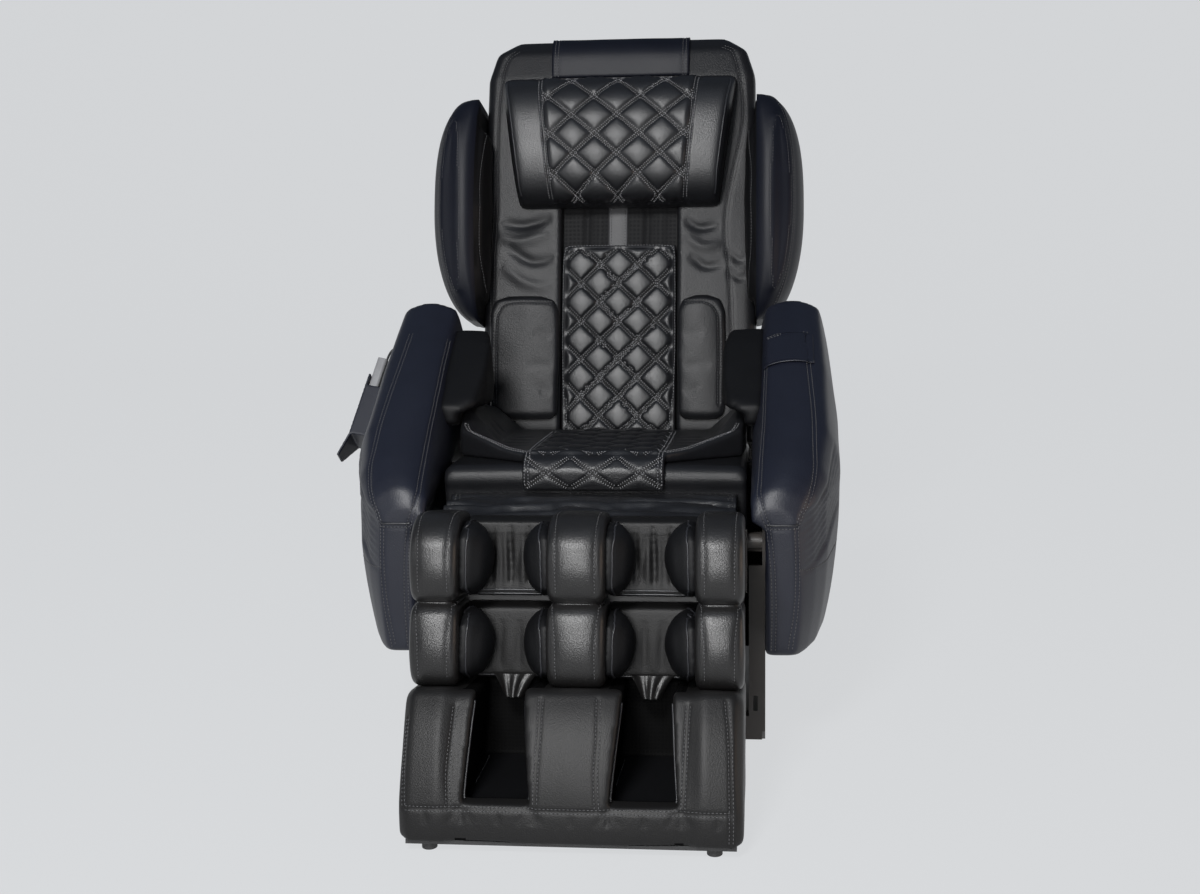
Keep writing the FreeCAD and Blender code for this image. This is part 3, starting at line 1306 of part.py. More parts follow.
def shell_rings(trim):
    """Rear shell, bowed to the rear and drawn in at its ends; trim makes its inside."""
    half, depth = size("back_half_width"), size("shell_depth")
    low, high = 24 - trim, size("back_top") - 4 - trim
    front = size("cushion_back") + (size("soft_gap") if trim == 0 else -1)
    rings = []
    for share, deep, inset in ((0, 0.5, 8), (0.04, 0.66, 3), (0.3, 0.86, 0), (0.7, 0.86, 0),
                               (0.93, 0.7, 9), (1, 0.46, 34)):
        rear = front + (depth - front) * deep - trim
        side = half - 1 - inset - trim
        corners = [(-side, front), (side, front), (side - 16, rear), (16 - side, rear)]
        rings.append(ring("XY", low + share * (high - low), corners, (0, 8, depth * 0.13, 8)))
    return rings


def make_back_shell():
    shell = loft(shell_rings(0)).cut(loft(shell_rings(size("shell_wall"))))
    lever = block(size("lever_offset") - 24, size("lever_offset") + 24, 0, size("cushion_back") + 60, 0, 32)
    shell = shell.cut(lever)
    for side in (1, -1):
        notch = block(size("side_rail_offset") - 2, size("back_half_width") + 8, 20,
                      size("cushion_back + side_rail_size") + 6, 0, size("back_bottom") - 4)
        shell = shell.cut(mirrored(notch, side))
    feature("back_shell", shell, BACK)


def make_back_cushion():
    """Back cushion: two crowned sides and a head end round the open roller channel."""
    half = size("back_half_width")
    low, high = size("back_bottom"), size("back_top")
    front, rear = -size("back_front"), size("cushion_back")
    rings = []
    for share, inset, drop in ((0, 4, 10), (0.03, 0, 2), (0.3, 0, 0), (0.7, 0, 0), (0.9, 3, 2),
                               (0.965, 18, 8), (1, 52, 30)):
        side = half - inset
        corners = [(-side, rear), (-side, front + 14 + drop), (14 - side, front + drop),
                   (side - 14, front + drop), (side, front + 14 + drop), (side, rear)]
        rings.append(ring("XY", low + share * (high - low), corners, (0, 3, 2.5, 3, 0, 0)))
    wide = size("channel_half_width")
    channel = block(-wide, wide, front - 20, rear + 20, low - 20, size("channel_top"))
    feature("back_cushion", loft(rings).cut(channel), BACK)


def make_roller_cloth():
    """Cloth over the roller channel, with upright folds and a strap down its middle."""
    body = new_body("roller_cloth")
    edge = "channel_half_width - soft_gap"
    rear = "-cloth_front + cloth_thickness"
    outline = [(edge, rear), (f"-({edge})", rear)]
    for side, places in (("-", (1, 0.72, 0.66, 0.44, 0.38)), ("", (0.38, 0.44, 0.66, 0.72, 1))):
        for place in places:
            depth = "-cloth_front" if place in (1, 0.66, 0.38) else "-cloth_front + fold_depth * 0.7"
            outline.append((f"{side}({edge}) * {place}", depth))
    add_pad(body, "XY", outline, "back_bottom + 2", "channel_top - soft_gap")
    add_block(body, ("-strap_half_width", "strap_half_width"), ("-cloth_front - 2", "-cloth_front + 1"),
              ("quilt_top + 1", "pillow_bottom + 40"))
    keep(body, "roller_cloth", BACK)


def flat_pad(left, right, low, high, rear, front, corner):
    """A thin crowned pad on the backrest, with its upper corners drawn in."""
    rings = []
    height = high - low
    for share, inset, thin in ((0, corner * 0.4, 0.5), (0.04, corner * 0.1, 0.9), (0.5, 0, 1),
                               (1 - corner / height, 1, 1), (1 - corner * 0.3 / height, corner * 0.3, 0.95),
                               (1, corner, 0.5)):
        face = rear - (rear - front) * thin
        corners = [(left + inset, rear), (left + inset, face + 4), (right - inset, face + 4),
                   (right - inset, rear)]
        rings.append(ring("XY", low + share * height, corners, (0, 4, 0, 0)))
    return loft(rings)


def make_back_pads():
    """Quilted strip over the roller cloth and the two lumbar pads beside it."""
    front = -size("back_front")
    quilt = flat_pad(-size("quilt_half_width"), size("quilt_half_width"), size("back_bottom") + 2,
                     size("quilt_top"), -size("cloth_front + soft_gap"), 4 - size("quilt_front"), 6)
    half = size("quilt_half_width")
    crown = 4
    face = crown - size("quilt_front")

    def on_quilt(across, up):
        return Vector(across, face + crown - crown * (1 - (across / half) ** 2), up)

    edge = size("stitch_width")
    quilt = quilted(quilt, (edge - half, half - edge, size("back_bottom") + 2 + edge * 2,
                            size("quilt_top") - edge), on_quilt, Vector(0, -1, 0), 4)
    feature("back_quilt", quilt, BACK)
    for word, side in (("left", -1), ("right", 1)):
        outer = size("lumbar_outer_" + word)
        pad = flat_pad(size("lumbar_inner"), outer, size("lumbar_bottom"), size("lumbar_top"),
                       front - 2.5 - size("soft_gap"), front - size("lumbar_thickness") + 4, 30)
        feature("lumbar_pad_" + word, mirrored(pad, side), BACK)


def make_pillow():
    """Head pillow: a flattened bolster, wider at its top."""
    rear = -size("back_front") - 2.3
    thick = size("pillow_thickness")
    low, high = size("pillow_bottom"), size("pillow_top")
    rings = []
    profile = ((0, 0.24, 10), (0.07, 0.6, 2), (0.3, 0.94, 0), (0.7, 0.96, 0), (0.92, 0.66, 2), (1, 0.26, 9))
    for share, thin, inset in profile:
        half = size("pillow_half_width_bottom")
        half += share * size("pillow_half_width_top - pillow_half_width_bottom") - inset
        face = rear - thick * thin
        side = thick * thin * 0.3
        corners = [(-half + 4, rear), (-half, face + side), (side - half, face), (half - side, face),
                   (half, face + side), (half - 4, rear)]
        rings.append(ring("XY", low + share * (high - low), corners, (1, side * 0.2, 4, side * 0.2, 1, 0)))

    def on_pillow(across, up):
        share = (up - low) / (high - low)
        for (start, thin, _), (end, next_thin, _) in zip(profile, profile[1:]):
            if start <= share <= end:
                thin += (next_thin - thin) * (share - start) / (end - start)
                return Vector(across, rear - thick * thin - 3.4, up)

    quilt = size("pillow_quilt_half_width")
    tall = high - low
    pillow = quilted(loft(rings), (-quilt, quilt, low + tall * 0.08, high - tall * 0.09), on_pillow,
                     Vector(0, -1, 0), 9)
    feature("head_pillow", pillow, BACK)


def make_top_flap():
    """Leather flap sewn above the pillow, over the top and down the rear."""
    front, top, thick = -size("back_front") - 3, size("back_top") + 1, size("flap_thickness")
    rear = size("shell_depth")
    inner = [(front, size("pillow_top") + 4), (front, top - 34), (front + 26, top), (rear * 0.5, top),
             (rear * 0.84, top - 42), (rear * 0.99, top - 110)]
    outer = [(front - thick, size("pillow_top") + 4), (front - thick, top - 33), (front + 25, top + thick),
             (rear * 0.5 + 1, top + thick), (rear * 0.84 + 3, top - 41), (rear * 0.99 + 3, top - 110)]
    half = size("flap_half_width")
    corners = [Vector(-half, *corner) for corner in inner + outer[::-1]]
    shape = Part.Face(Part.makePolygon(corners + corners[:1])).extrude(Vector(2 * half, 0, 0))
    cushion = nodes["back_cushion"].Shape.copy()
    cushion.Placement = Placement()
    shape = shape.cut(cushion)
    shell = nodes["back_shell"].Shape.copy()
    shell.Placement = Placement()
    shape = shape.cut(shell)
    feature("top_flap", max(shape.Solids, key=lambda solid: solid.Volume), BACK)


def wing_rings(trim, inward, ends):
    """Sections of a shoulder wing: a bowed outer side and a flat or bowed inner side."""
    rings = []
    middle, tall = size("wing_middle"), size("wing_half_height") - trim
    inner = size("back_half_width + soft_gap")
    tip_depth, shoulder = 0.35, 0.72
    for share in ends:
        scale = math.sqrt(1 - share * share)
        deep = (size("wing_half_depth") - trim) * (tip_depth + (1 - tip_depth) * scale)
        out = (size("wing_bulge") - trim) * scale
        centre = -size("wing_forward") - 6 * share
        corners = [(inner, centre - deep), (inner + out * shoulder, centre - deep * shoulder),
                   (inner + out * shoulder, centre + deep * shoulder), (inner, centre + deep)]
        rings.append(ring("XY", middle + share * tall, corners,
                          (out * 0.16, out * 0.28, out * 0.16, inward * scale)))
    return rings


def make_wings():
    """Each shoulder wing is a rigid shell with an air pad inside it."""
    ends = (-0.985, -0.86, -0.5, 0, 0.5, 0.86, 0.985)
    wall = size("wing_wall")
    shell = loft(wing_rings(0, 0, ends))
    inside = loft(wing_rings(wall, 2, ends))
    inner = size("back_half_width + soft_gap")
    inside = inside.common(block(inner - 1, inner + 300, -400, 400, 0, 1000))
    shell = shell.cut(inside)
    pad = loft(wing_rings(wall + size("soft_gap") * 2, 0, ends))
    pad_inner = loft(wing_pad_rings())
    pad = pad.fuse(pad_inner).removeSplitter()
    for side, word in ((1, "right"), (-1, "left")):
        feature("wing_shell_" + word, mirrored(shell, side), BACK)
        feature("wing_pad_" + word, mirrored(pad, side), BACK)


def wing_pad_rings():
    """The part of the air pad that stands inwards in front of the backrest's face."""
    inner = size("back_half_width + soft_gap")
    front = -size("back_front") - 4
    rings = []
    for share in (-0.8, -0.6, 0, 0.5, 0.7):
        scale = math.sqrt(1 - share * share)
        reach = size("wing_pad_reach") * scale
        far = -size("wing_forward") - size("wing_half_depth") * 0.9 * scale
        corners = [(inner + 2, far), (inner + 2, front), (inner - reach * 0.6, front),
                   (inner - reach, far * 0.5 + front * 0.5), (inner - reach * 0.5, far + 6)]
        rings.append(ring("XY", size("wing_middle") + share * size("wing_half_height"),
                          corners, (0, 0, 2, 2, 0)))
    return rings


# Massage mechanism inside the backrest

def make_carriage():
    """Carriage that climbs the roller rails on the lead screw and carries the massage arms."""
    body = new_body("carriage")
    half = "roller_rail_offset - guide_gap"
    high = "carriage_low + carriage_height"
    front = "roller_rail_front + 4"
    add_block(body, (f"-({half})", half), (front, f"{front} + carriage_plate"), ("carriage_low", high))
    add_block(body, ("-nut_half_width", "nut_half_width"),
              (f"{front} + carriage_plate - 1", "screw_back + nut_half_width"),
              ("carriage_low + nut_inset", f"{high} - nut_inset"))
    pivot = "carriage_low + carriage_height / 2"
    for side in (1, -1):
        for low in ("massage_arm_offset - massage_arm_thickness / 2 - guide_gap - carriage_lug",
                    "massage_arm_offset + massage_arm_thickness / 2 + guide_gap"):
            root, nose = "pin_radius * 2.4", "pin_radius * 1.8"
            tip = "roller_axis_back + roller_radius - 4"
            lug = [(f"{front} + 1", f"{pivot} - {root}"), (f"{front} + 1", f"{pivot} + {root}"),
                   (tip, f"{pivot} + {nose}"), (tip, f"{pivot} - {nose}")]
            add_pad(body, "YZ", lug, *both(low, f"{low} + carriage_lug", side))
    add_pocket(body, "XY", [("0", "screw_back", "screw_radius + shaft_gap")],
               "carriage_low - 1", f"{high} + 1")
    for side in (1, -1):
        low, far = both("massage_arm_offset - massage_arm_thickness / 2 - carriage_lug - 2",
                        "massage_arm_offset + massage_arm_thickness / 2 + carriage_lug + 2", side)
        add_pocket(body, "YZ", [("roller_axis_back + roller_radius", pivot, "pin_radius + shaft_gap")],
                   low, far)
    keep(body, "carriage", BACK)


def make_massage_arms():
    pivot = "carriage_low + carriage_height / 2"
    axis = "roller_axis_back + roller_radius"
    for side, word in ((1, "right"), (-1, "left")):
        body = new_body("massage_arm_" + word)
        low, high = both("massage_arm_offset - massage_arm_thickness / 2",
                         "massage_arm_offset + massage_arm_thickness / 2", side)
        bar = [(f"{axis} + 7", f"{pivot} - 9"), (f"{axis} + 7", f"{pivot} + 9"),
               ("roller_axis_back + 7", f"{pivot} + roller_spread + 7"),
               ("roller_axis_back - 7", f"{pivot} + roller_spread + 7"),
               ("roller_axis_back - 7", f"{pivot} + roller_spread - 7"), (f"{axis} - 14", pivot),
               ("roller_axis_back - 7", f"{pivot} - roller_spread + 7"),
               ("roller_axis_back - 7", f"{pivot} - roller_spread - 7"),
               ("roller_axis_back + 7", f"{pivot} - roller_spread - 7")]
        add_pad(body, "YZ", bar, low, high)
        add_pad(body, "YZ", [(axis, pivot, "pin_radius")],
                *both("massage_arm_offset - massage_arm_thickness / 2 - 7",
                      "massage_arm_offset + massage_arm_thickness / 2 + 7", side))
        for sign in ("+", "-"):
            add_pad(body, "YZ", [("roller_axis_back", f"{pivot} {sign} roller_spread", "pin_radius")],
                    *both("massage_arm_offset - massage_arm_thickness / 2",
                          "massage_arm_offset + massage_arm_thickness / 2 + roller_width + 1", side))
        keep(body, "massage_arm_" + word, BACK)


def make_massage_rollers():
    """Four barrel rollers, each on its own pin at an end of a massage arm."""
    for side, word in ((1, "right"), (-1, "left")):
        for sign, level in ((1, "upper"), (-1, "lower")):
            name = f"roller_{level}_{word}"
            bore = "pin_radius + shaft_gap"
            body = turned(name, [
                ("0", bore), ("0", "roller_radius * 0.72"), ("roller_width * 0.25", "roller_radius * 0.95"),
                ("roller_width * 0.5", "roller_radius"), ("roller_width * 0.75", "roller_radius * 0.95"),
                ("roller_width", "roller_radius * 0.72"), ("roller_width", bore)])
            inner = size("massage_arm_offset + massage_arm_thickness / 2 + guide_gap")
            shift = inner if side > 0 else -inner - size("roller_width")
            height = size("carriage_low + carriage_height / 2") + sign * size("roller_spread")
            body.Placement = Placement(Vector(shift, size("roller_axis_back"), height), Rotation())
            keep(body, name, BACK)


def make_lift_drive():
    """Lead screw, and the motor under the backrest's lower bar that turns it."""
    screw = document.addObject("Part::Cylinder", "lift_screw")
    bind(screw, "Radius", "screw_radius")
    bind(screw, "Height", "channel_top - screw_low - lift_motor_high")
    screw.Placement = Placement(Vector(0, size("screw_back"), size("screw_low")), Rotation())
    keep(screw, "lift_screw", BACK)
    motor = new_body("lift_motor")
    add_pad(motor, "XY", [("0", "screw_back", "screw_radius * 3.2")], "lift_motor_low", "lift_motor_high")
    add_pocket(motor, "XY", [("0", "screw_back", "screw_radius + shaft_gap")], "screw_low - 0.5",
               "lift_motor_high + 1")
    keep(motor, "lift_motor", BACK)


# Drives under the seat

LEG_LEVER_ANGLE = 35
RECLINE_LEVER_ANGLE = 22.6


def make_linear_motors():
    """Two linear motors hung from the seat bars; their rods end in slotted forks on the levers."""
    for word, across, front, hinge, lever, angle in (
            ("recline", "lever_offset", "recline_motor_front", "back_hinge", "recline_lever",
             RECLINE_LEVER_ANGLE),
            ("leg", "-lever_offset", "leg_motor_front", "leg_hinge", "leg_lever", LEG_LEVER_ANGLE)):
        turn = math.radians(angle)
        pin_back = f"{hinge}_back + {lever} * {math.sin(turn):.6f}"
        pin_up = f"{hinge}_up - {lever} * {math.cos(turn):.6f}"
        sweep = f"{lever} * {1 - math.cos(turn):.6f}"
        level = f"{pin_up} - {sweep} / 2"
        low_x, high_x = f"{across} - motor_width / 2", f"{across} + motor_width / 2"
        motor = new_body(word + "_motor")
        ends = (front, f"{front} + motor_length")
        if word == "recline":
            bore = (f"{front} + motor_nose", f"{ends[1]} + 1")
            rod_ends = (f"{front} + recline_rod_start", f"{pin_back} - fork_neck")
        else:
            bore = (f"{front} - 1", f"{ends[1]} - motor_nose")
            rod_ends = (f"{pin_back} + fork_neck", f"{ends[1]} - leg_rod_inset")
        add_block(motor, (low_x, high_x), ends,
                  (f"{level} - motor_height / 2", f"{level} + motor_height / 2"))
        hanger = f"{front} + (motor_length - hanger_length) / 2"
        add_block(motor, (f"{across} - hanger_half_width", f"{across} + hanger_half_width"),
                  (hanger, f"{hanger} + hanger_length"),
                  (f"{level} + motor_height / 2 - 1", "bar_bottom + bar_height - soft_gap"))
        hole = [(across, level, "rod_radius + shaft_gap")]
        add_pocket(motor, "XZ", hole, *bore)
        keep(motor, word + "_motor", BASE)
        slide = new_body(word + "_rod")
        add_pad(slide, "XZ", [(across, level, "rod_radius")], *rod_ends)
        slot_half = f"lever_pin_radius + {sweep} / 2 + fork_room"
        fork_low = f"{level} - ({slot_half}) - fork_wall"
        fork_high = f"{level} + ({slot_half}) + fork_wall"
        toward = "-" if word == "recline" else "+"
        away = "+" if word == "recline" else "-"
        near, far = f"{pin_back} {toward} fork_reach", f"{pin_back} {away} fork_past"
        backs = (near, far) if word == "recline" else (far, near)
        cheek = rectangle(*backs, fork_low, fork_high)
        for low, high in (("lever_thickness / 2 + fork_room", "lever_thickness / 2 + rod_radius"),
                          ("-lever_thickness / 2 - rod_radius", "-lever_thickness / 2 - fork_room")):
            add_pad(slide, "YZ", cheek, f"{across} + {low}", f"{across} + {high}")
        bridge = (near, f"{near} + fork_bridge")
        if word == "leg":
            bridge = (f"{near} - fork_bridge", near)
        add_block(slide, (f"{across} - lever_thickness / 2 - rod_radius",
                          f"{across} + lever_thickness / 2 + rod_radius"), bridge, (fork_low, fork_high))
        slot = rectangle(f"{pin_back} - lever_pin_radius - slot_room",
                         f"{pin_back} + lever_pin_radius + slot_room",
                         f"{level} - ({slot_half})", f"{level} + ({slot_half})")
        add_pocket(slide, "YZ", slot, f"{across} - motor_width", f"{across} + motor_width")
        keep(slide, word + "_rod", BASE)


def make_tray_units():
    """Control box and air pump on the base tray, mains inlet and rocker in the rear panel."""
    floor = "rail_lift + rail_height + tray_thickness"
    box = new_body("control_box")
    pad = add_block(box, ("-unit_offset - box_width", "-unit_offset"),
                    ("unit_front", "unit_front + box_length"),
                    (floor, f"{floor} + box_height"))
    round_edges(box, pad, "box_height * 0.1",
                lambda middle, edge: abs(edge.tangentAt(edge.FirstParameter).z) > 0.9)
    keep(box, "control_box", BASE)
    pump = new_body("air_pump")
    pad = add_block(pump, ("unit_offset", "unit_offset + pump_width"),
                    ("unit_front", "unit_front + pump_length"),
                    (floor, f"{floor} + pump_height * 0.7"))
    add_pad(pump, "XY",
            [("unit_offset + pump_width / 2", "unit_front + pump_length / 2", "pump_width * 0.36")],
            f"{floor} + pump_height * 0.6", f"{floor} + pump_height")
    keep(pump, "air_pump", BASE)
    middle = "rear_panel_top - panel_part_drop"
    inlet = new_body("power_inlet")
    back = "web_foot_rear + tray_thickness"
    sides = ("inlet_across - inlet_width / 2", "inlet_across + inlet_width / 2")
    low, high = f"{middle} - inlet_height / 2", f"{middle} + inlet_height / 2"
    add_block(inlet, sides, (f"{back} - inlet_depth", f"{back} + 1"), (low, high))
    add_block(inlet, (f"{sides[0]} - inlet_rim - 1", f"{sides[1]} + inlet_rim + 1"),
              (back, f"{back} + inlet_rim"), (f"{low} - inlet_rim", f"{high} + inlet_rim"))
    socket = rectangle(f"{sides[0]} + inlet_rim", f"{sides[1]} - inlet_rim",
                       f"{low} + inlet_rim", f"{high} - inlet_rim")
    add_pocket(inlet, "XZ", socket, f"{back} - inlet_depth + 10", f"{back} + inlet_rim + 1")
    keep(inlet, "power_inlet", BASE)
    rocker = new_body("power_switch")
    face = "4"
    corners = [("-9", "-rocker_height / 2 + 3"), (f"{face}", "-rocker_height / 2 + 0.5"),
               (f"{face} - 1.5", "0"), (f"{face} + 1", "rocker_height / 2 - 2"),
               ("-9", "rocker_height / 2 - 3")]
    add_pad(rocker, "YZ", corners, "-rocker_width / 2", "rocker_width / 2")
    rocker.Placement = Placement(Vector(size("rocker_across"), size(back), size(middle)), Rotation())
    keep(rocker, "power_switch", BASE)


def place_on_floor():
    """Move every sub-part so that the origin lies on the floor under the middle of the chair."""
    boxes = [thing.Shape.optimalBoundingBox(True, False) for thing in nodes.values()]
    middle_x = (min(box.XMin for box in boxes) + max(box.XMax for box in boxes)) / 2
    middle_y = (min(box.YMin for box in boxes) + max(box.YMax for box in boxes)) / 2
    lowest = min(box.ZMin for box in boxes)
    shift = Placement(Vector(-middle_x, -middle_y, -lowest), Rotation())
    for thing in nodes.values():
        thing.Placement = shift.multiply(thing.Placement)
    return shift


def check_all():
    for thing in document.Objects:
        if "Invalid" in thing.State or "Error" in thing.State:
            raise ValueError(f"{thing.Name} is {thing.State}")
    for name, thing in nodes.items():
        shape = thing.Shape
        if shape.isNull() or not shape.isValid() or not shape.Solids:
            raise ValueError(f"{name} has no valid solid")


def key_points(shift):
    """The joint positions and axes after the move, for the part's record."""
    def moved(place, point):
        spot = shift.multVec(place.multVec(point))
        return [round(spot.x, 3), round(spot.y, 3), round(spot.z, 3)]

    def turned_axis(place, axis):
        spun = place.Rotation.multVec(axis)
        return [round(spun.x, 6), round(spun.y, 6), round(spun.z, 6)]

    pivot = size("carriage_low + carriage_height / 2")
    reach, down = foot_roller_centre()
    axis_back = size("roller_axis_back")
    return {
        "shift": [shift.Base.x, shift.Base.y, shift.Base.z],
        "leg_hinge": moved(LEG, Vector()),
        "back_hinge": moved(BACK, Vector()),
        "leg_down": turned_axis(LEG, Vector(0, 0, -1)),
        "back_up": turned_axis(BACK, Vector(0, 0, 1)),
        "pillow_hinge": moved(BACK, Vector(0, -size("back_front") - 6, size("pillow_top") + 2)),
        "screw": moved(BACK, Vector(0, size("screw_back"), 6)),
        "arm_pivot": moved(BACK, Vector(0, axis_back + size("roller_radius"), pivot)),
        "roller_upper": moved(BACK, Vector(0, axis_back, pivot + size("roller_spread"))),
        "roller_lower": moved(BACK, Vector(0, axis_back, pivot - size("roller_spread"))),
        "foot_rollers": moved(LEG, Vector(0, -reach, -down)),
        "wheel": moved(BASE, Vector(0, size("wheel_back"), size("wheel_radius + wheel_lift"))),
        "rocker": moved(BASE, Vector(size("rocker_across"), size("web_foot_rear + tray_thickness"),
                                     size("rear_panel_top - panel_part_drop"))),
        "button": moved(POCKET, Vector(-size("handset_thickness") / 2, 0, size("handset_length") / 2 - 22)),
        "button_in": turned_axis(POCKET, Vector(1, 0, 0)),
        "floor": moved(BASE, Vector(size("web_inner + web_thickness / 2"), 600, 0)),
        "pocket_axes": [turned_axis(POCKET, Vector(1, 0, 0)), turned_axis(POCKET, Vector(0, 1, 0)),
                        turned_axis(POCKET, Vector(0, 0, 1))],
        "pocket": moved(POCKET, Vector()),
        "cord": [moved(BASE, point) for point in cord_route()],
    }


def main():
    make_base_frame()
    make_hinge_shafts()
    make_wheels()
    make_seat_pan()
    make_seat_cushion()
    make_seat_overlay()
    make_front_apron()
    arm = make_arms()
    make_arm_air_pads(arm)
    make_pocket(arm)
    make_handset()
    make_cord()
    make_leg_frame()
    make_calf_shell()
    make_calf_pads()
    make_calf_leaves_and_lining()
    make_foot_cover()
    make_foot_shell()
    make_foot_rollers()
    make_foot_glides()
    make_back_frame()
    make_back_shell()
    make_back_cushion()
    make_roller_cloth()
    make_back_pads()
    make_pillow()
    make_top_flap()
    make_wings()
    make_carriage()
    make_massage_arms()
    make_massage_rollers()
    make_lift_drive()
    make_linear_motors()
    make_tray_units()
    document.recompute()
    shift = place_on_floor()
    document.recompute()
    check_all()
    os.makedirs("parts", exist_ok=True)
    for name, thing in nodes.items():
        thing.Shape.exportStep(f"parts/{name}.step")
    print("nodes", len(nodes))
    print("POINTS", json.dumps(key_points(shift)))


main()
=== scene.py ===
"""Covers, pads, stitching, cord and finishes of a reclining massage chair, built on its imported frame."""
import json
import math
from collections import namedtuple

import bpy
from mathutils import Matrix, Vector, kdtree, noise
from mathutils.bvhtree import BVHTree

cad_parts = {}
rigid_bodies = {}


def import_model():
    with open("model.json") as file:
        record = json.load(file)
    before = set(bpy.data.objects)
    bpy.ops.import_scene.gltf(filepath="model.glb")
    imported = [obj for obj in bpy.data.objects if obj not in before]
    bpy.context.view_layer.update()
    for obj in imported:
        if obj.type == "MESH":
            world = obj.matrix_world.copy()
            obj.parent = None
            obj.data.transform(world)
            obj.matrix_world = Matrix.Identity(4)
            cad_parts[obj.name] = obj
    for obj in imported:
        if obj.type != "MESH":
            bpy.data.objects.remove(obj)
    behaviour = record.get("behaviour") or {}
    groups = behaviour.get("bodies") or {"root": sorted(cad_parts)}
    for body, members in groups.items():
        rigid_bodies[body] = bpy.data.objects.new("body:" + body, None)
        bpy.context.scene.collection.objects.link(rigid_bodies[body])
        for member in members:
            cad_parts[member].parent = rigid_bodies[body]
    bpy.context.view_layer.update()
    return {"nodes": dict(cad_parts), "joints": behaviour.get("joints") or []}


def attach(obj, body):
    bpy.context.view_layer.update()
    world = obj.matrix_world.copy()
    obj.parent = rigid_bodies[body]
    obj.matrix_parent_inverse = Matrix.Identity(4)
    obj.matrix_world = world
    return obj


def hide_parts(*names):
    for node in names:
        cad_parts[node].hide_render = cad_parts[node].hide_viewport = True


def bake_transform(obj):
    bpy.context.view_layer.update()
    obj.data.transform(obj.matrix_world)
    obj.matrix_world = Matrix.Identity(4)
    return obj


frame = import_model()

bl_info = {
    "name": "Massage chair",
    "version": (1, 0, 0),
    "blender": (4, 5, 0),
    "location": "3D View > Sidebar > Chair",
    "description": "Dresses the frame of a reclining massage chair in its leather, pads and stitching",
    "category": "Object",
}

MM = 0.001
JOINTS = {joint["name"]: joint for joint in frame["joints"]}
BACK_HINGE = Vector(JOINTS["back_recline"]["pos_m"])
LEG_HINGE = Vector(JOINTS["leg_lift"]["pos_m"])
BACK_LEAN = 18
LEG_TILT = 13
SIDES = (("left", -1), ("right", 1))


# Settings that a user would change

def length_setting(name, description, default, low, high):
    """A length in metres that a user may change."""
    return bpy.props.FloatProperty(name=name, description=description, unit="LENGTH", default=default,
                                   min=low, max=high)


def colour_setting(name, description, default):
    """A colour that a user may change."""
    return bpy.props.FloatVectorProperty(name=name, description=description, subtype="COLOR",
                                         default=default, min=0, max=1)


class ChairSettings(bpy.types.PropertyGroup):
    """Sizes and colours of the chair's covers."""
    leather_colour: colour_setting("Leather", "Colour of the black leather", (0.0065, 0.0067, 0.0078))
    # The arm leather's navy tint is a painted reflection of the blue sky light on the arms' tops
    arm_colour: colour_setting("Arm leather", "Colour of the smoother leather on arms and wings",
                               (0.0055, 0.0068, 0.0135))
    leg_colour: colour_setting("Leg leather", "Colour of the leather on the calf and foot units",
                               (0.0085, 0.0082, 0.0082))
    # The thread's light grey is partly its own colour and partly a painted highlight of the leather's puckers
    # beside the quilting seams
    thread_colour: colour_setting("Thread", "Colour of the sewing thread", (0.24, 0.24, 0.25))
    grain_size: length_setting("Grain", "Size of one pebble of the leather's grain", 0.0018, 0.0002, 0.02)
    stitch_pitch: length_setting("Stitch pitch", "Distance from one stitch to the next",
                                 0.0056, 0.002, 0.05)
    stitch_length: length_setting("Stitch length", "Visible length of one stitch", 0.0034, 0.001, 0.04)
    stitch_width: length_setting("Stitch width", "Thickness of the sewing thread", 0.0012, 0.0002, 0.01)
    rung_pitch: length_setting("Quilting pitch", "Distance between the short stitches across a quilting seam",
                               0.0042, 0.002, 0.05)
    rung_length: length_setting("Quilting stitch", "Length of one short stitch across a quilting seam",
                                0.0027, 0.001, 0.02)
    hole_radius: length_setting("Needle hole", "Radius of the dark hole between two stitches",
                                0.0008, 0.0002, 0.005)
    piping_radius: length_setting("Piping", "Radius of the piping along the covers' edges",
                                  0.0015, 0.0004, 0.01)
    diamond_width: length_setting("Diamond width", "Width of one diamond of the quilting", 0.074, 0.02, 0.3)
    diamond_height: length_setting("Diamond height", "Height of one diamond of the quilting",
                                   0.071, 0.02, 0.3)
    puff: length_setting("Puff", "How far a quilted diamond stands above its seams", 0.0065, 0, 0.03)


class StageSettings(bpy.types.PropertyGroup):
    """The studio round the chair."""
    background: colour_setting("Background", "Pale colour of floor and backdrop", (0.685, 0.698, 0.713))
    ambient: bpy.props.FloatProperty(
        name="Ambient", description="Strength of the soft light from all round", default=0.13, min=0)
    key_power: bpy.props.FloatProperty(
        name="Key lamp", description="Power of the large lamp in front of the chair", unit="POWER",
        default=95, min=0)
    lens: bpy.props.FloatProperty(
        name="Lens", description="Focal length on a 36 mm wide picture", unit="CAMERA",
        default=49.26, min=10, max=300)


def settings():
    """The chair's settings in the scene."""
    return bpy.context.scene.chair_settings


# Places

def tilted(hinge, degrees):
    """A frame in millimetres on a hinge, leaning to the rear by an angle."""
    return Matrix.Translation(hinge) @ Matrix.Rotation(math.radians(-degrees), 4, "X") @ Matrix.Scale(MM, 4)


BACK_HINGE_FROM_FRONT = 0.9
CHAIR = Matrix.Translation((BACK_HINGE.x, BACK_HINGE.y - BACK_HINGE_FROM_FRONT, 0)) @ Matrix.Scale(MM, 4)
BACK = tilted(BACK_HINGE, BACK_LEAN)
LEG = tilted(LEG_HINGE, LEG_TILT)


def pocket_place():
    """Frame of the handset: X towards the arm, Y along its width, Z along its length."""
    along = Vector((26, 80, 100)).normalized()
    width = Vector((0, along.z, -along.y)).normalized()
    inward = width.cross(along)
    turn = Matrix((inward, width, along)).transposed().to_4x4()
    return CHAIR @ Matrix.Translation((-419, 722, 492)) @ turn


POCKET = pocket_place()


# Pieces

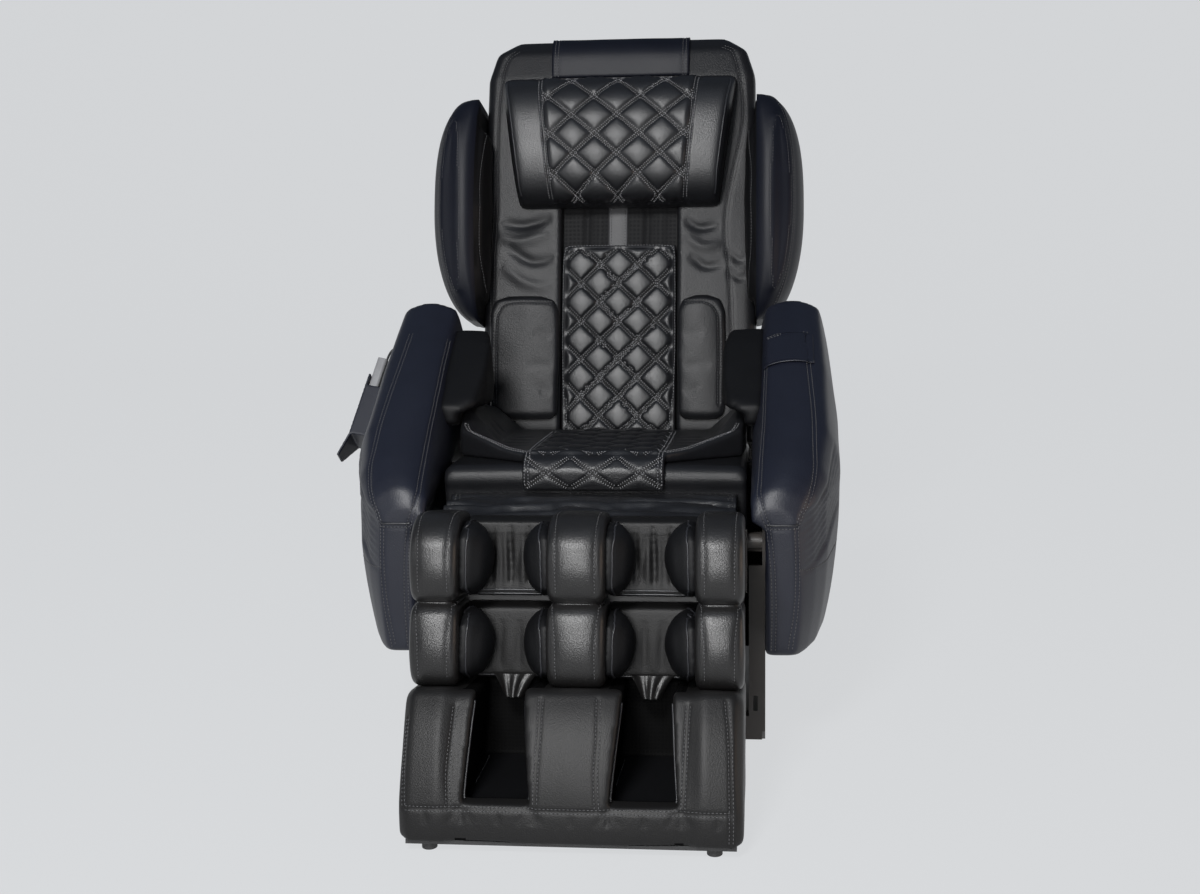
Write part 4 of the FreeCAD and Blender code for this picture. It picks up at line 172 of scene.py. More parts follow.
def put(thing, look, body, slot, *nodes):
    """Give a piece its finish, let it ride on its body and stand for its solids."""
    thing.data.materials.clear()
    thing.data.materials.append(bpy.data.materials[look])
    if thing.type == "MESH":
        thing.data.shade_smooth()
    if nodes:
        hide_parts(*nodes)
    if body:
        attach(thing, body)


def mesh_piece(name, points, faces, place=None):
    """A mesh object from points in millimetres of a place, or in metres where none is given."""
    mesh = bpy.data.meshes.new(name)
    if place is not None:
        points = [place @ Vector(point) for point in points]
    mesh.from_pydata(points, [], faces)
    thing = bpy.data.objects.new(name, mesh)
    bpy.context.collection.objects.link(thing)
    return thing


def sheet_mesh(name, columns, rows, point, thickness, place):
    """A closed sheet through point(u, v): its face, its rear at a thickness, and its four edges."""
    wide = columns + 1
    face = [Vector(point(column / columns, row / rows)) for row in range(rows + 1) for column in range(wide)]
    normals = []
    for row in range(rows + 1):
        for column in range(wide):
            along = face[row * wide + min(column + 1, columns)] - face[row * wide + max(column - 1, 0)]
            up = face[min(row + 1, rows) * wide + column] - face[max(row - 1, 0) * wide + column]
            normals.append(along.cross(up).normalized())
    points = face + [place_ - normal * thickness for place_, normal in zip(face, normals)]
    count = len(face)
    faces = []
    for row in range(rows):
        for column in range(columns):
            first = row * wide + column
            faces.append((first, first + 1, first + wide + 1, first + wide))
            faces.append((count + first, count + first + wide, count + first + wide + 1, count + first + 1))
    rim = list(range(columns)) + [row * wide + columns for row in range(rows)]
    rim += [rows * wide + column for column in range(columns, 0, -1)]
    rim += [row * wide for row in range(rows, 0, -1)]
    for here, after in zip(rim, rim[1:] + rim[:1]):
        faces.append((here, count + here, count + after, after))
    return mesh_piece(name, points, faces, place)


def lofted(name, points, spans, wide, mirrored=False):
    """A closed body on the backrest through rings of points, with a flat face at its two ends."""
    faces = []
    for start in range(0, spans * wide, wide):
        for step in range(wide):
            after = (step + 1) % wide
            faces.append((start + step, start + wide + step, start + wide + after, start + after))
    faces.append(tuple(range(wide)))
    faces.append(tuple(spans * wide + step for step in reversed(range(wide))))
    if mirrored:
        faces = [face[::-1] for face in faces]
    return mesh_piece(name, points, faces, BACK)


def cover_from(node, name, cell, rounds, swell=0.6):
    """A soft cover that starts as a solid's own surface, in even cells, smoothed and swollen a little."""
    thing = bpy.data.objects.new(name, frame["nodes"][node].data.copy())
    bpy.context.collection.objects.link(thing)
    remesh = thing.modifiers.new("cells", "REMESH")
    remesh.mode = "VOXEL"
    remesh.voxel_size = cell * MM * 1
    smooth = thing.modifiers.new("smooth", "SMOOTH")
    smooth.iterations = rounds
    displace = thing.modifiers.new("swell", "DISPLACE")
    displace.strength = swell * MM
    displace.mid_level = 0
    ready = thing.evaluated_get(bpy.context.evaluated_depsgraph_get())
    thing.data = bpy.data.meshes.new_from_object(ready)
    thing.modifiers.clear()
    thing.data.name = name
    return thing


def push(thing, place, amount):
    """Move each point of a piece along its normal by amount(point, normal), in millimetres of a place."""
    mesh = thing.data
    inverse = place.inverted()
    turn = inverse.to_3x3().normalized()
    normals = [normal.vector.copy() for normal in mesh.vertex_normals]
    for vertex, normal in zip(mesh.vertices, normals):
        vertex.co += normal * (amount(inverse @ vertex.co, turn @ normal) * MM)
    mesh.update()


def uneven(thing, place, amount, size):
    """Slow unevenness of stuffed leather, in millimetres."""
    push(thing, place, lambda point, normal: amount * noise.noise(point / size))


# Seams, stitches and creases

# A seam's points are in millimetres of its place. rows are the offsets of its rows of stitches, look is
# what is sewn along them, and band is how far the ribbon of painted shade in the valley beside a quilting
# seam reaches.
Seam = namedtuple("Seam", "points depth width rows closed look band")


def double_seam(*points, depth=1.6, rows=(-3.2, 3.2)):
    """A felled seam: a narrow groove with a dotted row of stitches on both sides."""
    return Seam(points, depth, 3.0, rows, False, "stitch", 0)


def single_seam(*points, depth=0.8, width=3.0, closed=False):
    """One dotted row of stitches in a shallow groove."""
    return Seam(points, depth, width, (0,), closed, "stitch", 0)


def quilting_seam(*points):
    """A valley with a ribbon of painted shade along its floor, and two rows of short light stitches across
    it, partly a painted highlight of the leather's puckers.
    """
    return Seam(points, 2.4, 4.4, (-2.4, 2.4), False, "rung", 4.0)


def piping(*points):
    """A thin cord under the leather along an edge."""
    return Seam(points, 0, 3.0, (0,), False, "piping", 0)


def crease(*points, depth=3.0, width=8.0):
    """A soft fold that fades at its two ends; a negative depth makes a ridge."""
    return Seam(points, depth, width, (), False, "crease", 0)


def smooth_line(points, closed, step):
    """Points a step apart on a smooth line through all the given points."""
    points = [Vector(point) for point in points]
    count = len(points)
    result = []
    for index in range(count if closed else count - 1):
        if closed:
            before, start, end, after = (points[(index + shift) % count] for shift in (-1, 0, 1, 2))
        else:
            start, end = points[index], points[index + 1]
            before = points[index - 1] if index else 2 * start - end
            after = points[index + 2] if index + 2 < count else 2 * end - start
        parts = max(1, round((end - start).length / step))
        for part in range(parts):
            share = part / parts
            result.append(0.5 * (2 * start + (end - before) * share
                                 + (2 * before - 5 * start + 4 * end - after) * share ** 2
                                 + (3 * start - before - 3 * end + after) * share ** 3))
    result.append(points[0] if closed else points[-1])
    return result


def surface_tree(thing):
    """A search tree over a piece's faces."""
    mesh = thing.data
    return BVHTree.FromPolygons([vertex.co.copy() for vertex in mesh.vertices],
                                [tuple(face.vertices) for face in mesh.polygons])


SEAM_STEP = 2.0


def trace(tree, place, seam):
    """The seam's line laid on the surface: places, normals and directions, in metres."""
    line = []
    for point in smooth_line(seam.points, seam.closed, SEAM_STEP):
        found, normal, _, _ = tree.find_nearest(place @ point)
        line.append((found, normal))
    result = []
    for index, (point, normal) in enumerate(line):
        after = line[min(index + 1, len(line) - 1)][0]
        before = line[max(index - 1, 0)][0]
        result.append((point, normal, (after - before).normalized()))
    return result


def press_seams(thing, seams, traces):
    """Press each seam's groove, or lift each ridge, into the piece."""
    tree = kdtree.KDTree(sum(len(line) for line in traces))
    owners = []
    for number, line in enumerate(traces):
        for index, (point, _, _) in enumerate(line):
            tree.insert(point, len(owners))
            owners.append((number, index / max(len(line) - 1, 1)))
    tree.balance()
    reach = max(seam.width for seam in seams) * 2.2 * MM
    mesh = thing.data
    normals = [normal.vector.copy() for normal in mesh.vertex_normals]
    for vertex, normal in zip(mesh.vertices, normals):
        nearest = {}
        for _, owner, distance in tree.find_range(vertex.co, reach):
            number, share = owners[owner]
            if number not in nearest or distance < nearest[number][0]:
                nearest[number] = (distance, share)
        depth = 0
        for number, (distance, share) in nearest.items():
            seam = seams[number]
            fade = 1 if seam.rows or seam.closed else math.sin(math.pi * share) ** 0.7
            depth += seam.depth * fade * math.exp(-(distance / (seam.width * MM)) ** 2)
        vertex.co -= normal * (depth * MM)
    mesh.update()


STITCH_SIDES = 5
HOLE_SIDES = 6
PIPING_SIDES = 8
STITCH_LIFT = 0.35


def add_ring(points, centre, side, up, radius, count):
    """Points on a circle round a centre."""
    for number in range(count):
        angle = 2 * math.pi * number / count
        points.append(centre + (side * math.cos(angle) + up * math.sin(angle)) * radius)


def add_tube(faces, first, spans, wide, open_start=False):
    """Faces between rings of points that follow a first point, closed at the end and mostly at the start."""
    for start in range(first, first + spans * wide, wide):
        for number in range(wide):
            after = (number + 1) % wide
            faces.append((start + number, start + after, start + wide + after, start + wide + number))
    if not open_start:
        faces.append(tuple(first + number for number in reversed(range(wide))))
    faces.append(tuple(first + spans * wide + number for number in range(wide)))


def add_stitch(points, faces, centre, along, normal, length):
    """One stitch: a short rounded bar that lies on the leather."""
    half = length / 2
    thick = settings().stitch_width / 2
    first = len(points)
    for place, share in ((-1, 0.35), (-0.6, 1), (0.6, 1), (1, 0.35)):
        middle = centre + along * (half * place) + normal * (thick * (0.7 * share - 0.3))
        add_ring(points, middle, along.cross(normal), normal, thick * share, STITCH_SIDES)
    add_tube(faces, first, 3, STITCH_SIDES)


def add_hole(points, faces, centre, along, normal):
    """A needle hole: a small cap of painted shade that closes it over the leather."""
    radius = settings().hole_radius
    first = len(points)
    for share, height in ((1.0, -0.2), (0.7, 0.5)):
        middle = centre + normal * (height * MM)
        add_ring(points, middle, along.cross(normal), along, radius * share, HOLE_SIDES)
    add_tube(faces, first, 1, HOLE_SIDES, open_start=True)


def beside(tree, line, offset):
    """Places and normals on the surface at an offset beside a traced line."""
    row = []
    for point, normal, along in line:
        found, near, _, _ = tree.find_nearest(point + along.cross(normal) * (offset * MM))
        row.append((found, near))
    return row


def walk(row, pitch, first):
    """Places at an even pitch along a row, each with its direction and normal."""
    walked = first
    for (start, normal), (end, _) in zip(row, row[1:]):
        run = (end - start).length
        while walked < run:
            yield start.lerp(end, walked / run), (end - start).normalized(), normal
            walked += pitch
        walked -= run


def add_band(points, faces, tree, line, half):
    """A narrow ribbon of painted shade that lies on the bottom of a seam's valley."""
    lifts = ((-1, -0.3), (-0.7, 0.3), (0, 0.35), (0.7, 0.3), (1, -0.3))
    columns = [beside(tree, line, half * share) for share, _ in lifts]
    first = len(points)
    for index in range(len(line)):
        for column, (_, lift) in zip(columns, lifts):
            place, normal = column[index]
            points.append(place + normal * (lift * MM))
    wide = len(lifts)
    for index in range(len(line) - 1):
        for column in range(wide - 1):
            start = first + index * wide + column
            faces.append((start, start + wide, start + wide + 1, start + 1))


def add_piping(points, faces, line):
    """A thin tube along a traced line."""
    radius = settings().piping_radius
    first = len(points)
    for point, normal, along in line:
        add_ring(points, point + normal * (radius * 0.45), along.cross(normal), normal, radius, PIPING_SIDES)
    add_tube(faces, first, len(line) - 1, PIPING_SIDES)


def add_trim(thing, word, finish, points, faces):
    """Sewn detail as a child of its piece, where there is any."""
    if not points:
        return
    trim = mesh_piece(thing.name + word, points, faces)
    trim.data.materials.append(bpy.data.materials[finish])
    trim.data.shade_smooth()
    trim.parent = thing


def add_thread(thread, holes, row, seam):
    """The stitches along a row beside a seam: short light rungs across it, partly a painted highlight of the
    leather's puckers, or dots with needle holes of painted shade between them.
    """
    look = settings()
    if seam.look == "rung":
        for centre, along, normal in walk(row, look.rung_pitch, look.rung_pitch / 2):
            lifted = centre + normal * (STITCH_LIFT * MM)
            add_stitch(*thread, lifted, along.cross(normal), normal, look.rung_length)
        return
    for centre, along, normal in walk(row, look.stitch_pitch, look.stitch_pitch / 2):
        add_stitch(*thread, centre, along, normal, look.stitch_length)
    for centre, along, normal in walk(row, look.stitch_pitch, look.stitch_pitch):
        add_hole(*holes, centre, along, normal)


def sew(thing, place, seams, thread_look="Dark thread"):
    """Press seams and creases into a piece, and add their stitches, the painted shade in their valleys and
    needle holes, and piping.
    """
    tree = surface_tree(thing)
    traces = [trace(tree, place, seam) for seam in seams]
    press_seams(thing, seams, traces)
    tree = surface_tree(thing)
    # dark gathers the painted shade: ribbons on the floor of quilting valleys and caps over the needle holes
    thread, dark, cord = ([], []), ([], []), ([], [])
    for seam, line in zip(seams, traces):
        if seam.look == "piping":
            add_piping(*cord, trace(tree, place, seam))
            continue
        if seam.band:
            add_band(*dark, tree, line, seam.band)
        for offset in seam.rows:
            add_thread(thread, dark, beside(tree, line, offset), seam)
    add_trim(thing, "_stitches", thread_look, *thread)
    add_trim(thing, "_valleys", "Seam shade", *dark)
    add_trim(thing, "_piping", "Piping leather", *cord)


# Quilting

class Quilting:
    """Diamonds that fill a rectangle of two of a piece's own coordinates, in millimetres."""

    def __init__(self, low_a, low_b, high_a, high_b):
        self.low_a, self.low_b, self.high_a, self.high_b = low_a, low_b, high_a, high_b
        self.middle_a, self.middle_b = (low_a + high_a) / 2, (low_b + high_b) / 2
        self.wide = settings().diamond_width / MM
        self.tall = settings().diamond_height / MM
        self.puff = settings().puff / MM

    def lines(self):
        """Both families of slanting seams, clipped to the rectangle."""
        reach = int((self.high_a - self.low_a) / self.wide + (self.high_b - self.low_b) / self.tall) + 2
        lines = []
        for slope in (self.tall / self.wide, -self.tall / self.wide):
            for number in range(-reach, reach + 1):
                offset = self.middle_b + (number + 0.5) * self.tall
                ends = []
                for a in (self.low_a, self.high_a):
                    b = offset + slope * (a - self.middle_a)
                    if self.low_b <= b <= self.high_b:
                        ends.append((a, b))
                for b in (self.low_b, self.high_b):
                    a = self.middle_a + (b - offset) / slope
                    if self.low_a < a < self.high_a:
                        ends.append((a, b))
                if len(ends) == 2 and math.dist(*ends) > self.wide * 0.3:
                    lines.append(sorted(ends))
        return lines

    def seams(self, place_on):
        """The quilting's seams, where place_on(a, b) gives a point near the surface."""
        seams = []
        for (start_a, start_b), (end_a, end_b) in self.lines():
            seams.append(quilting_seam(*[place_on(start_a + share * (end_a - start_a),
                                                  start_b + share * (end_b - start_b))
                                         for share in (0, 0.25, 0.5, 0.75, 1)]))
        return seams

    def rise(self, a, b):
        """How far the padding stands up at a place: a dome in every diamond."""
        slope = self.tall / self.wide
        dome = 1
        for sign in (1, -1):
            level = b - self.middle_b - sign * slope * (a - self.middle_a) - self.tall / 2
            dome *= abs(math.sin(math.pi * level / self.tall))
        edge = max(0, min(a - self.low_a, self.high_a - a, b - self.low_b, self.high_b - b))
        return self.puff * dome ** 0.4 * min(1, edge / (0.12 * self.tall)) ** 0.5


# Finishes

def new_group(name, inputs, outputs):
    """An empty shader group with named float inputs and outputs."""
    group = bpy.data.node_groups.new(name, "ShaderNodeTree")
    for title, default in inputs:
        socket = group.interface.new_socket(title, in_out="INPUT", socket_type="NodeSocketFloat")
        socket.default_value = default
    for title in outputs:
        group.interface.new_socket(title, in_out="OUTPUT", socket_type="NodeSocketFloat")
    return group, group.nodes.new("NodeGroupInput"), group.nodes.new("NodeGroupOutput")


def add_node(tree, kind, **values):
    """A shader node of a kind, with some of its properties set."""
    node = tree.nodes.new(kind)
    for name, value in values.items():
        setattr(node, name, value)
    return node


def set_inputs(node, **values):
    """Set a node's inputs by name."""
    for name, value in values.items():
        node.inputs[name].default_value = value


def math_node(tree, operation, *operands):
    """The result of a math node whose operands are sockets or plain numbers."""
    node = add_node(tree, "ShaderNodeMath", operation=operation)
    for socket, operand in zip(node.inputs, operands):
        if isinstance(operand, (int, float)):
            socket.default_value = operand
        else:
            tree.links.new(operand, socket)
    return node.outputs[0]


def times(tree, one, other):
    """The product of two sockets, or of a socket and a number."""
    return math_node(tree, "MULTIPLY", one, other)


def texture(tree, kind, inputs, **values):
    """A texture node in the object's own coordinates."""
    node = add_node(tree, kind, **values)
    set_inputs(node, **inputs)
    place = add_node(tree, "ShaderNodeTexCoord")
    tree.links.new(place.outputs["Object"], node.inputs["Vector"])
    return node


def noise_value(tree, scale, detail, roughness=0.5):
    """The value of a noise texture."""
    node = texture(tree, "ShaderNodeTexNoise", {"Scale": scale, "Detail": detail, "Roughness": roughness})
    return node.outputs["Fac"]


def make_grain_group():
    """Leather grain: pebbles with fine pores between them, over slow unevenness."""
    group, given, result = new_group("Leather grain", [("Pebble size", 0.0018), ("Unevenness", 0.5)],
                                     ["Height", "Tone", "Gloss"])
    pebbles = texture(group, "ShaderNodeTexVoronoi", {"Smoothness": 0.6}, feature="SMOOTH_F1")
    group.links.new(math_node(group, "DIVIDE", 1.0, given.outputs["Pebble size"]), pebbles.inputs["Scale"])
    distance = pebbles.outputs["Distance"]
    broad = noise_value(group, 34.0, 4.0, 0.6)
    slow = noise_value(group, 5.0, 2.0)
    creped = noise_value(group, 260.0, 3.0, 0.7)
    pebble_height = math_node(group, "SUBTRACT", 1.0, distance)
    height = math_node(group, "ADD", pebble_height, times(group, broad, given.outputs["Unevenness"]))
    height = math_node(group, "ADD", height, times(group, creped, 1.3))
    group.links.new(height, result.inputs["Height"])
    tone = math_node(group, "ADD", times(group, broad, 0.5), times(group, slow, 0.5))
    group.links.new(tone, result.inputs["Tone"])
    gloss = math_node(group, "ADD", times(group, distance, 0.4), times(group, slow, 0.6))
    group.links.new(gloss, result.inputs["Gloss"])


def make_wear_group():
    """Edge wear and dust for hard parts: lighter where edges stick out, dustier in patches."""
    group, given, result = new_group("Edge wear", [("Edge", 0.5), ("Patch size", 0.05)], ["Wear", "Patches"])
    geometry = add_node(group, "ShaderNodeNewGeometry")
    patches = texture(group, "ShaderNodeTexNoise", {"Detail": 6.0, "Roughness": 0.65})
    group.links.new(math_node(group, "DIVIDE", 1.0, given.outputs["Patch size"]), patches.inputs["Scale"])
    pointed = math_node(group, "SUBTRACT", geometry.outputs["Pointiness"], 0.5)
    sharp = times(group, math_node(group, "MAXIMUM", pointed, 0.0), 8.0)
    worn = times(group, times(group, sharp, patches.outputs["Fac"]), given.outputs["Edge"])
    group.links.new(math_node(group, "MINIMUM", worn, 1.0), result.inputs["Wear"])
    group.links.new(patches.outputs["Fac"], result.inputs["Patches"])


def scaled(colour, factor):
    """A colour made darker or lighter."""
    return [part * factor for part in colour]


def new_material(name):
    """A new material's nodes, its shader and a bump node ready to link."""
    material = bpy.data.materials.new(name)
    material.use_nodes = True
    tree = material.node_tree
    shader = tree.nodes["Principled BSDF"]
    bump = add_node(tree, "ShaderNodeBump")
    tree.links.new(bump.outputs["Normal"], shader.inputs["Normal"])
    return tree, shader, bump


def colour_between(tree, factor, low, high):
    """A colour that goes from low to high with a factor."""
    mix = add_node(tree, "ShaderNodeMix", data_type="RGBA")
    mix.inputs["A"].default_value = (*low, 1)
    mix.inputs["B"].default_value = (*high, 1)
    tree.links.new(factor, mix.inputs["Factor"])
    return mix.outputs["Result"]


def value_between(tree, factor, low, high):
    """A value that goes from low to high with a factor."""
    remap = add_node(tree, "ShaderNodeMapRange")
    set_inputs(remap, **{"To Min": low, "To Max": high})
    tree.links.new(factor, remap.inputs["Value"])
    return remap.outputs["Result"]


def make_leather(name, colour, rough_low, rough_high, relief=0.35, unevenness=0.5, shine=0.5):
    """Grained leather of a colour, glossier on its pebbles."""
    tree, shader, bump = new_material(name)
    grain = add_node(tree, "ShaderNodeGroup", node_tree=bpy.data.node_groups["Leather grain"])
    set_inputs(grain, **{"Pebble size": settings().grain_size, "Unevenness": unevenness})
    tone = colour_between(tree, grain.outputs["Tone"], scaled(colour, 0.7), scaled(colour, 1.45))
    roughness = value_between(tree, grain.outputs["Gloss"], rough_low, rough_high)
    tree.links.new(tone, shader.inputs["Base Color"])
    tree.links.new(roughness, shader.inputs["Roughness"])
    set_inputs(shader, **{"Specular IOR Level": shine})
    set_inputs(bump, Strength=relief, Distance=0.0006)
    tree.links.new(grain.outputs["Height"], bump.inputs["Height"])


def make_weave(name, colour, thread, sheen=0.2, shine=0.2):
    """Closely woven cloth of a colour; thread is the distance from thread to thread."""
    tree, shader, bump = new_material(name)
    threads = []
    for direction in ("X", "Z"):
        wave = texture(tree, "ShaderNodeTexWave", {"Scale": 0.05 / thread, "Distortion": 0.6, "Detail": 1.0},
                       bands_direction=direction)
        threads.append(wave.outputs["Fac"])
    height = times(tree, *threads)
    tree.links.new(height, bump.inputs["Height"])
    set_inputs(bump, Strength=0.4, Distance=0.0005)
    tree.links.new(colour_between(tree, height, scaled(colour, 0.6), colour), shader.inputs["Base Color"])
    tree.links.new(value_between(tree, height, 0.65, 0.85), shader.inputs["Roughness"])
    set_inputs(shader, **{"Sheen Weight": sheen, "Sheen Roughness": 0.4, "Specular IOR Level": shine})


def make_hard(name, colour, rough_low, rough_high, metallic=0.0, edge=0.5, patch=0.05, relief=0.1, coat=0.0):
    """Plastic, paint or metal with worn edges and patches of dust."""
    tree, shader, bump = new_material(name)
    wear = add_node(tree, "ShaderNodeGroup", node_tree=bpy.data.node_groups["Edge wear"])
    set_inputs(wear, **{"Edge": edge, "Patch size": patch})
    patches = wear.outputs["Patches"]
    worn = [min(1, part * 2.4 + 0.03) for part in colour]
    mix = add_node(tree, "ShaderNodeMix", data_type="RGBA")
    mix.inputs["B"].default_value = (*worn, 1)
    tree.links.new(colour_between(tree, patches, scaled(colour, 0.8), scaled(colour, 1.15)), mix.inputs["A"])
    tree.links.new(wear.outputs["Wear"], mix.inputs["Factor"])
    tree.links.new(mix.outputs["Result"], shader.inputs["Base Color"])
    tree.links.new(value_between(tree, patches, rough_low, rough_high), shader.inputs["Roughness"])
    set_inputs(bump, Strength=relief, Distance=0.0004)
    tree.links.new(patches, bump.inputs["Height"])
    set_inputs(shader, **{"Metallic": metallic, "Coat Weight": coat})


def make_thread(name, colour):
    """Twisted sewing thread."""
    tree, shader, bump = new_material(name)
    twist = noise_value(tree, 900.0, 2.0)
    tone = colour_between(tree, twist, scaled(colour, 0.6), scaled(colour, 1.3))
    tree.links.new(tone, shader.inputs["Base Color"])
    tree.links.new(value_between(tree, twist, 0.35, 0.6), shader.inputs["Roughness"])
    tree.links.new(twist, bump.inputs["Height"])
    set_inputs(bump, Strength=0.3, Distance=0.0003)


def make_materials():
    """Every finish of the chair."""
    make_grain_group()
    make_wear_group()
    look = settings()
    leather, leg = look.leather_colour, look.leg_colour
    make_leather("Back leather", leather, 0.32, 0.48, shine=0.24)
    make_leather("Quilted leather", leather, 0.30, 0.46)
    make_leather("Seat leather", leather, 0.30, 0.46, shine=0.26)
    make_leather("Air pad leather", scaled(leather, 0.5), 0.44, 0.62, relief=0.2, shine=0.2)
    make_leather("Piping leather", scaled(leather, 2.2), 0.3, 0.45, relief=0.1)
    # Painted shade: a darker copy of the leather for the floor of seam valleys and the needle holes
    make_leather("Seam shade", scaled(leather, 0.3), 0.55, 0.75, relief=0.2)
    # Arm and wing leather: the navy tint of the arm colour is a painted reflection of the blue sky light; the
    # wings take a darker copy of it
    make_leather("Arm leather", look.arm_colour, 0.36, 0.52, relief=0.3, unevenness=0.3)
    make_leather("Wing leather", scaled(look.arm_colour, 0.6), 0.40, 0.56, relief=0.2, unevenness=0.3,
                 shine=0.22)
    # Painted shade: a copy of the leg leather half as light, for the channel linings that the pads shade
    make_leather("Lining leather", scaled(leg, 0.5), 0.40, 0.55, relief=0.3, shine=0.25)
    make_leather("Leg leather", leg, 0.30, 0.44)
    make_leather("Foot leather", scaled(leg, 0.8), 0.40, 0.54, shine=0.3)
    make_leather("Strap leather", (0.03, 0.03, 0.032), 0.4, 0.6)
    make_weave("Roller cloth", (0.007, 0.007, 0.008), 0.0012)
    # Dark cloth whose near-black is partly painted shade of the deep foot wells and seat slots
    make_weave("Lining cloth", (0.0025, 0.0025, 0.0026), 0.0009, sheen=0.0, shine=0.05)
    # The light thread of the quilting rungs is partly a painted highlight of the leather's puckers
    make_thread("Thread", look.thread_colour)
    make_thread("Dark thread", scaled(look.thread_colour, 0.3))
    make_hard("Base paint", (0.028, 0.024, 0.021), 0.35, 0.55, edge=0.6)
    make_hard("Steel", (0.56, 0.56, 0.57), 0.22, 0.4, metallic=1.0, edge=0.2, relief=0.05)
    make_hard("Shell plastic", (0.010, 0.010, 0.0105), 0.45, 0.6, relief=0.2, patch=0.01, edge=0.2)
    make_hard("Carriage metal", (0.30, 0.30, 0.31), 0.3, 0.5, metallic=1.0)
    make_hard("Roller plastic", (0.35, 0.34, 0.32), 0.35, 0.5)
    make_hard("Rubber", (0.018, 0.018, 0.018), 0.55, 0.75, relief=0.3, patch=0.004, edge=0.2)
    make_hard("Cord sheath", (0.012, 0.012, 0.012), 0.35, 0.5, patch=0.01, edge=0.1)
    make_hard("Handset plastic", (0.16, 0.16, 0.165), 0.35, 0.5)
    make_hard("Button plastic", (0.35, 0.03, 0.02), 0.15, 0.25, coat=0.5)
    make_hard("Box plastic", (0.05, 0.05, 0.052), 0.45, 0.6, patch=0.01, relief=0.2)
    make_hard("Pump metal", (0.5, 0.51, 0.52), 0.35, 0.55, metallic=1.0, relief=0.3, patch=0.01)
    make_hard("Motor paint", (0.03, 0.03, 0.033), 0.35, 0.5)
    make_hard("Board", (0.30, 0.20, 0.11), 0.55, 0.75, patch=0.02, relief=0.3)


# Which finish each carried solid gets
CARRIED = {
    "Base paint": ("base_frame", "back_frame", "leg_frame", "seat_pan", "hinge_shafts"),
    "Steel": ("lift_screw", "recline_rod", "leg_rod"),
    "Shell plastic": ("back_shell", "calf_shell", "foot_shell"),
    "Carriage metal": ("carriage", "massage_arm_left", "massage_arm_right"),
    "Roller plastic": ("roller_upper_left", "roller_upper_right", "roller_lower_left",
                       "roller_lower_right", "foot_rollers"),
    "Rubber": ("rear_wheel_left", "rear_wheel_right", "foot_glides"),
    "Handset plastic": ("handset_case",),
    "Button plastic": ("handset_button", "power_switch"),
    "Box plastic": ("control_box", "power_inlet"),
    "Pump metal": ("air_pump",),
    "Motor paint": ("recline_motor", "leg_motor", "lift_motor"),
    "Board": ("arm_panel_left", "arm_panel_right"),
}


class CHAIR_OT_finishes(bpy.types.Operator):
    """Make the finishes and give them to the frame's own rigid parts"""
    bl_idname = "chair.finishes"
    bl_label = "Finishes"

    def execute(self, context):
        make_materials()
        for look, names in CARRIED.items():
            for name in names:
                mesh = frame["nodes"][name].data
                mesh.materials.clear()
                mesh.materials.append(bpy.data.materials[look])
        return {"FINISHED"}


# Stage

# Where the camera stands in the chair's millimetres, and its angles in degrees
CAMERA_PLACE = (268, -2063, 1091)
CAMERA_DOWN = 13.66
CAMERA_LEFT = 5.86
CAMERA_ROLL = -1.32
# The backdrop's sizes in metres
BACKDROP_WIDTH = 40
BACKDROP_FRONT = -4
BACKDROP_RUN = 10
WALL_START = 3.0
WALL_BEND = 1.5
FLOOR_LEVEL = -0.001
SHADOW_SHARE = 0.08
UNLIT_WALL = 0.927
SKY_TINT = (0.62, 0.76, 1.0, 1)
CHAIR_MIDDLE = Vector((0, 0, 0.6))
WHITE = (1.0, 1.0, 1.0)
# Each lamp's name, place, width, share of the key lamp's power and colour
LAMPS = (
    ("key lamp", (-0.45, -2.75, 2.75), 0.7, 1, WHITE),
    ("low lamp", (-0.1, -3.3, 1.2), 0.9, 0.55, WHITE),
    ("top lamp", (0.1, -0.9, 3.4), 1.8, 0.05, (0.75, 0.85, 1.0)),
    ("left lamp", (-2.8, -1.6, 1.3), 1.2, 0.08, WHITE),
    ("right lamp", (2.9, -0.9, 0.7), 1.2, 0.14, (1.0, 0.74, 0.55)),
)


def camera_turn():
    """The camera's direction: down, a little to the left, with a slight roll."""
    down, left, roll = math.radians(CAMERA_DOWN), math.radians(CAMERA_LEFT), math.radians(CAMERA_ROLL)
    ahead = Vector((-math.sin(left) * math.cos(down), math.cos(left) * math.cos(down), -math.sin(down)))
    level = Vector((math.cos(left), math.sin(left), 0))
    above = level.cross(ahead)
    right = level * math.cos(roll) + above * math.sin(roll)
    up = above * math.cos(roll) - level * math.sin(roll)
    return Matrix((right, up, -ahead)).transposed()


def backdrop_point(u, v):
    """A point of a floor that curves up behind the chair into a wall."""
    run = v * BACKDROP_RUN + BACKDROP_FRONT
    across = (u - 0.5) * BACKDROP_WIDTH
    if run < WALL_START:
        return (across, run, FLOOR_LEVEL)
    angle = min((run - WALL_START) / WALL_BEND, math.pi / 2)
    rest = run - WALL_START - angle * WALL_BEND
    return (across, WALL_START + WALL_BEND * math.sin(angle),
            WALL_BEND * (1 - math.cos(angle)) + rest + FLOOR_LEVEL)


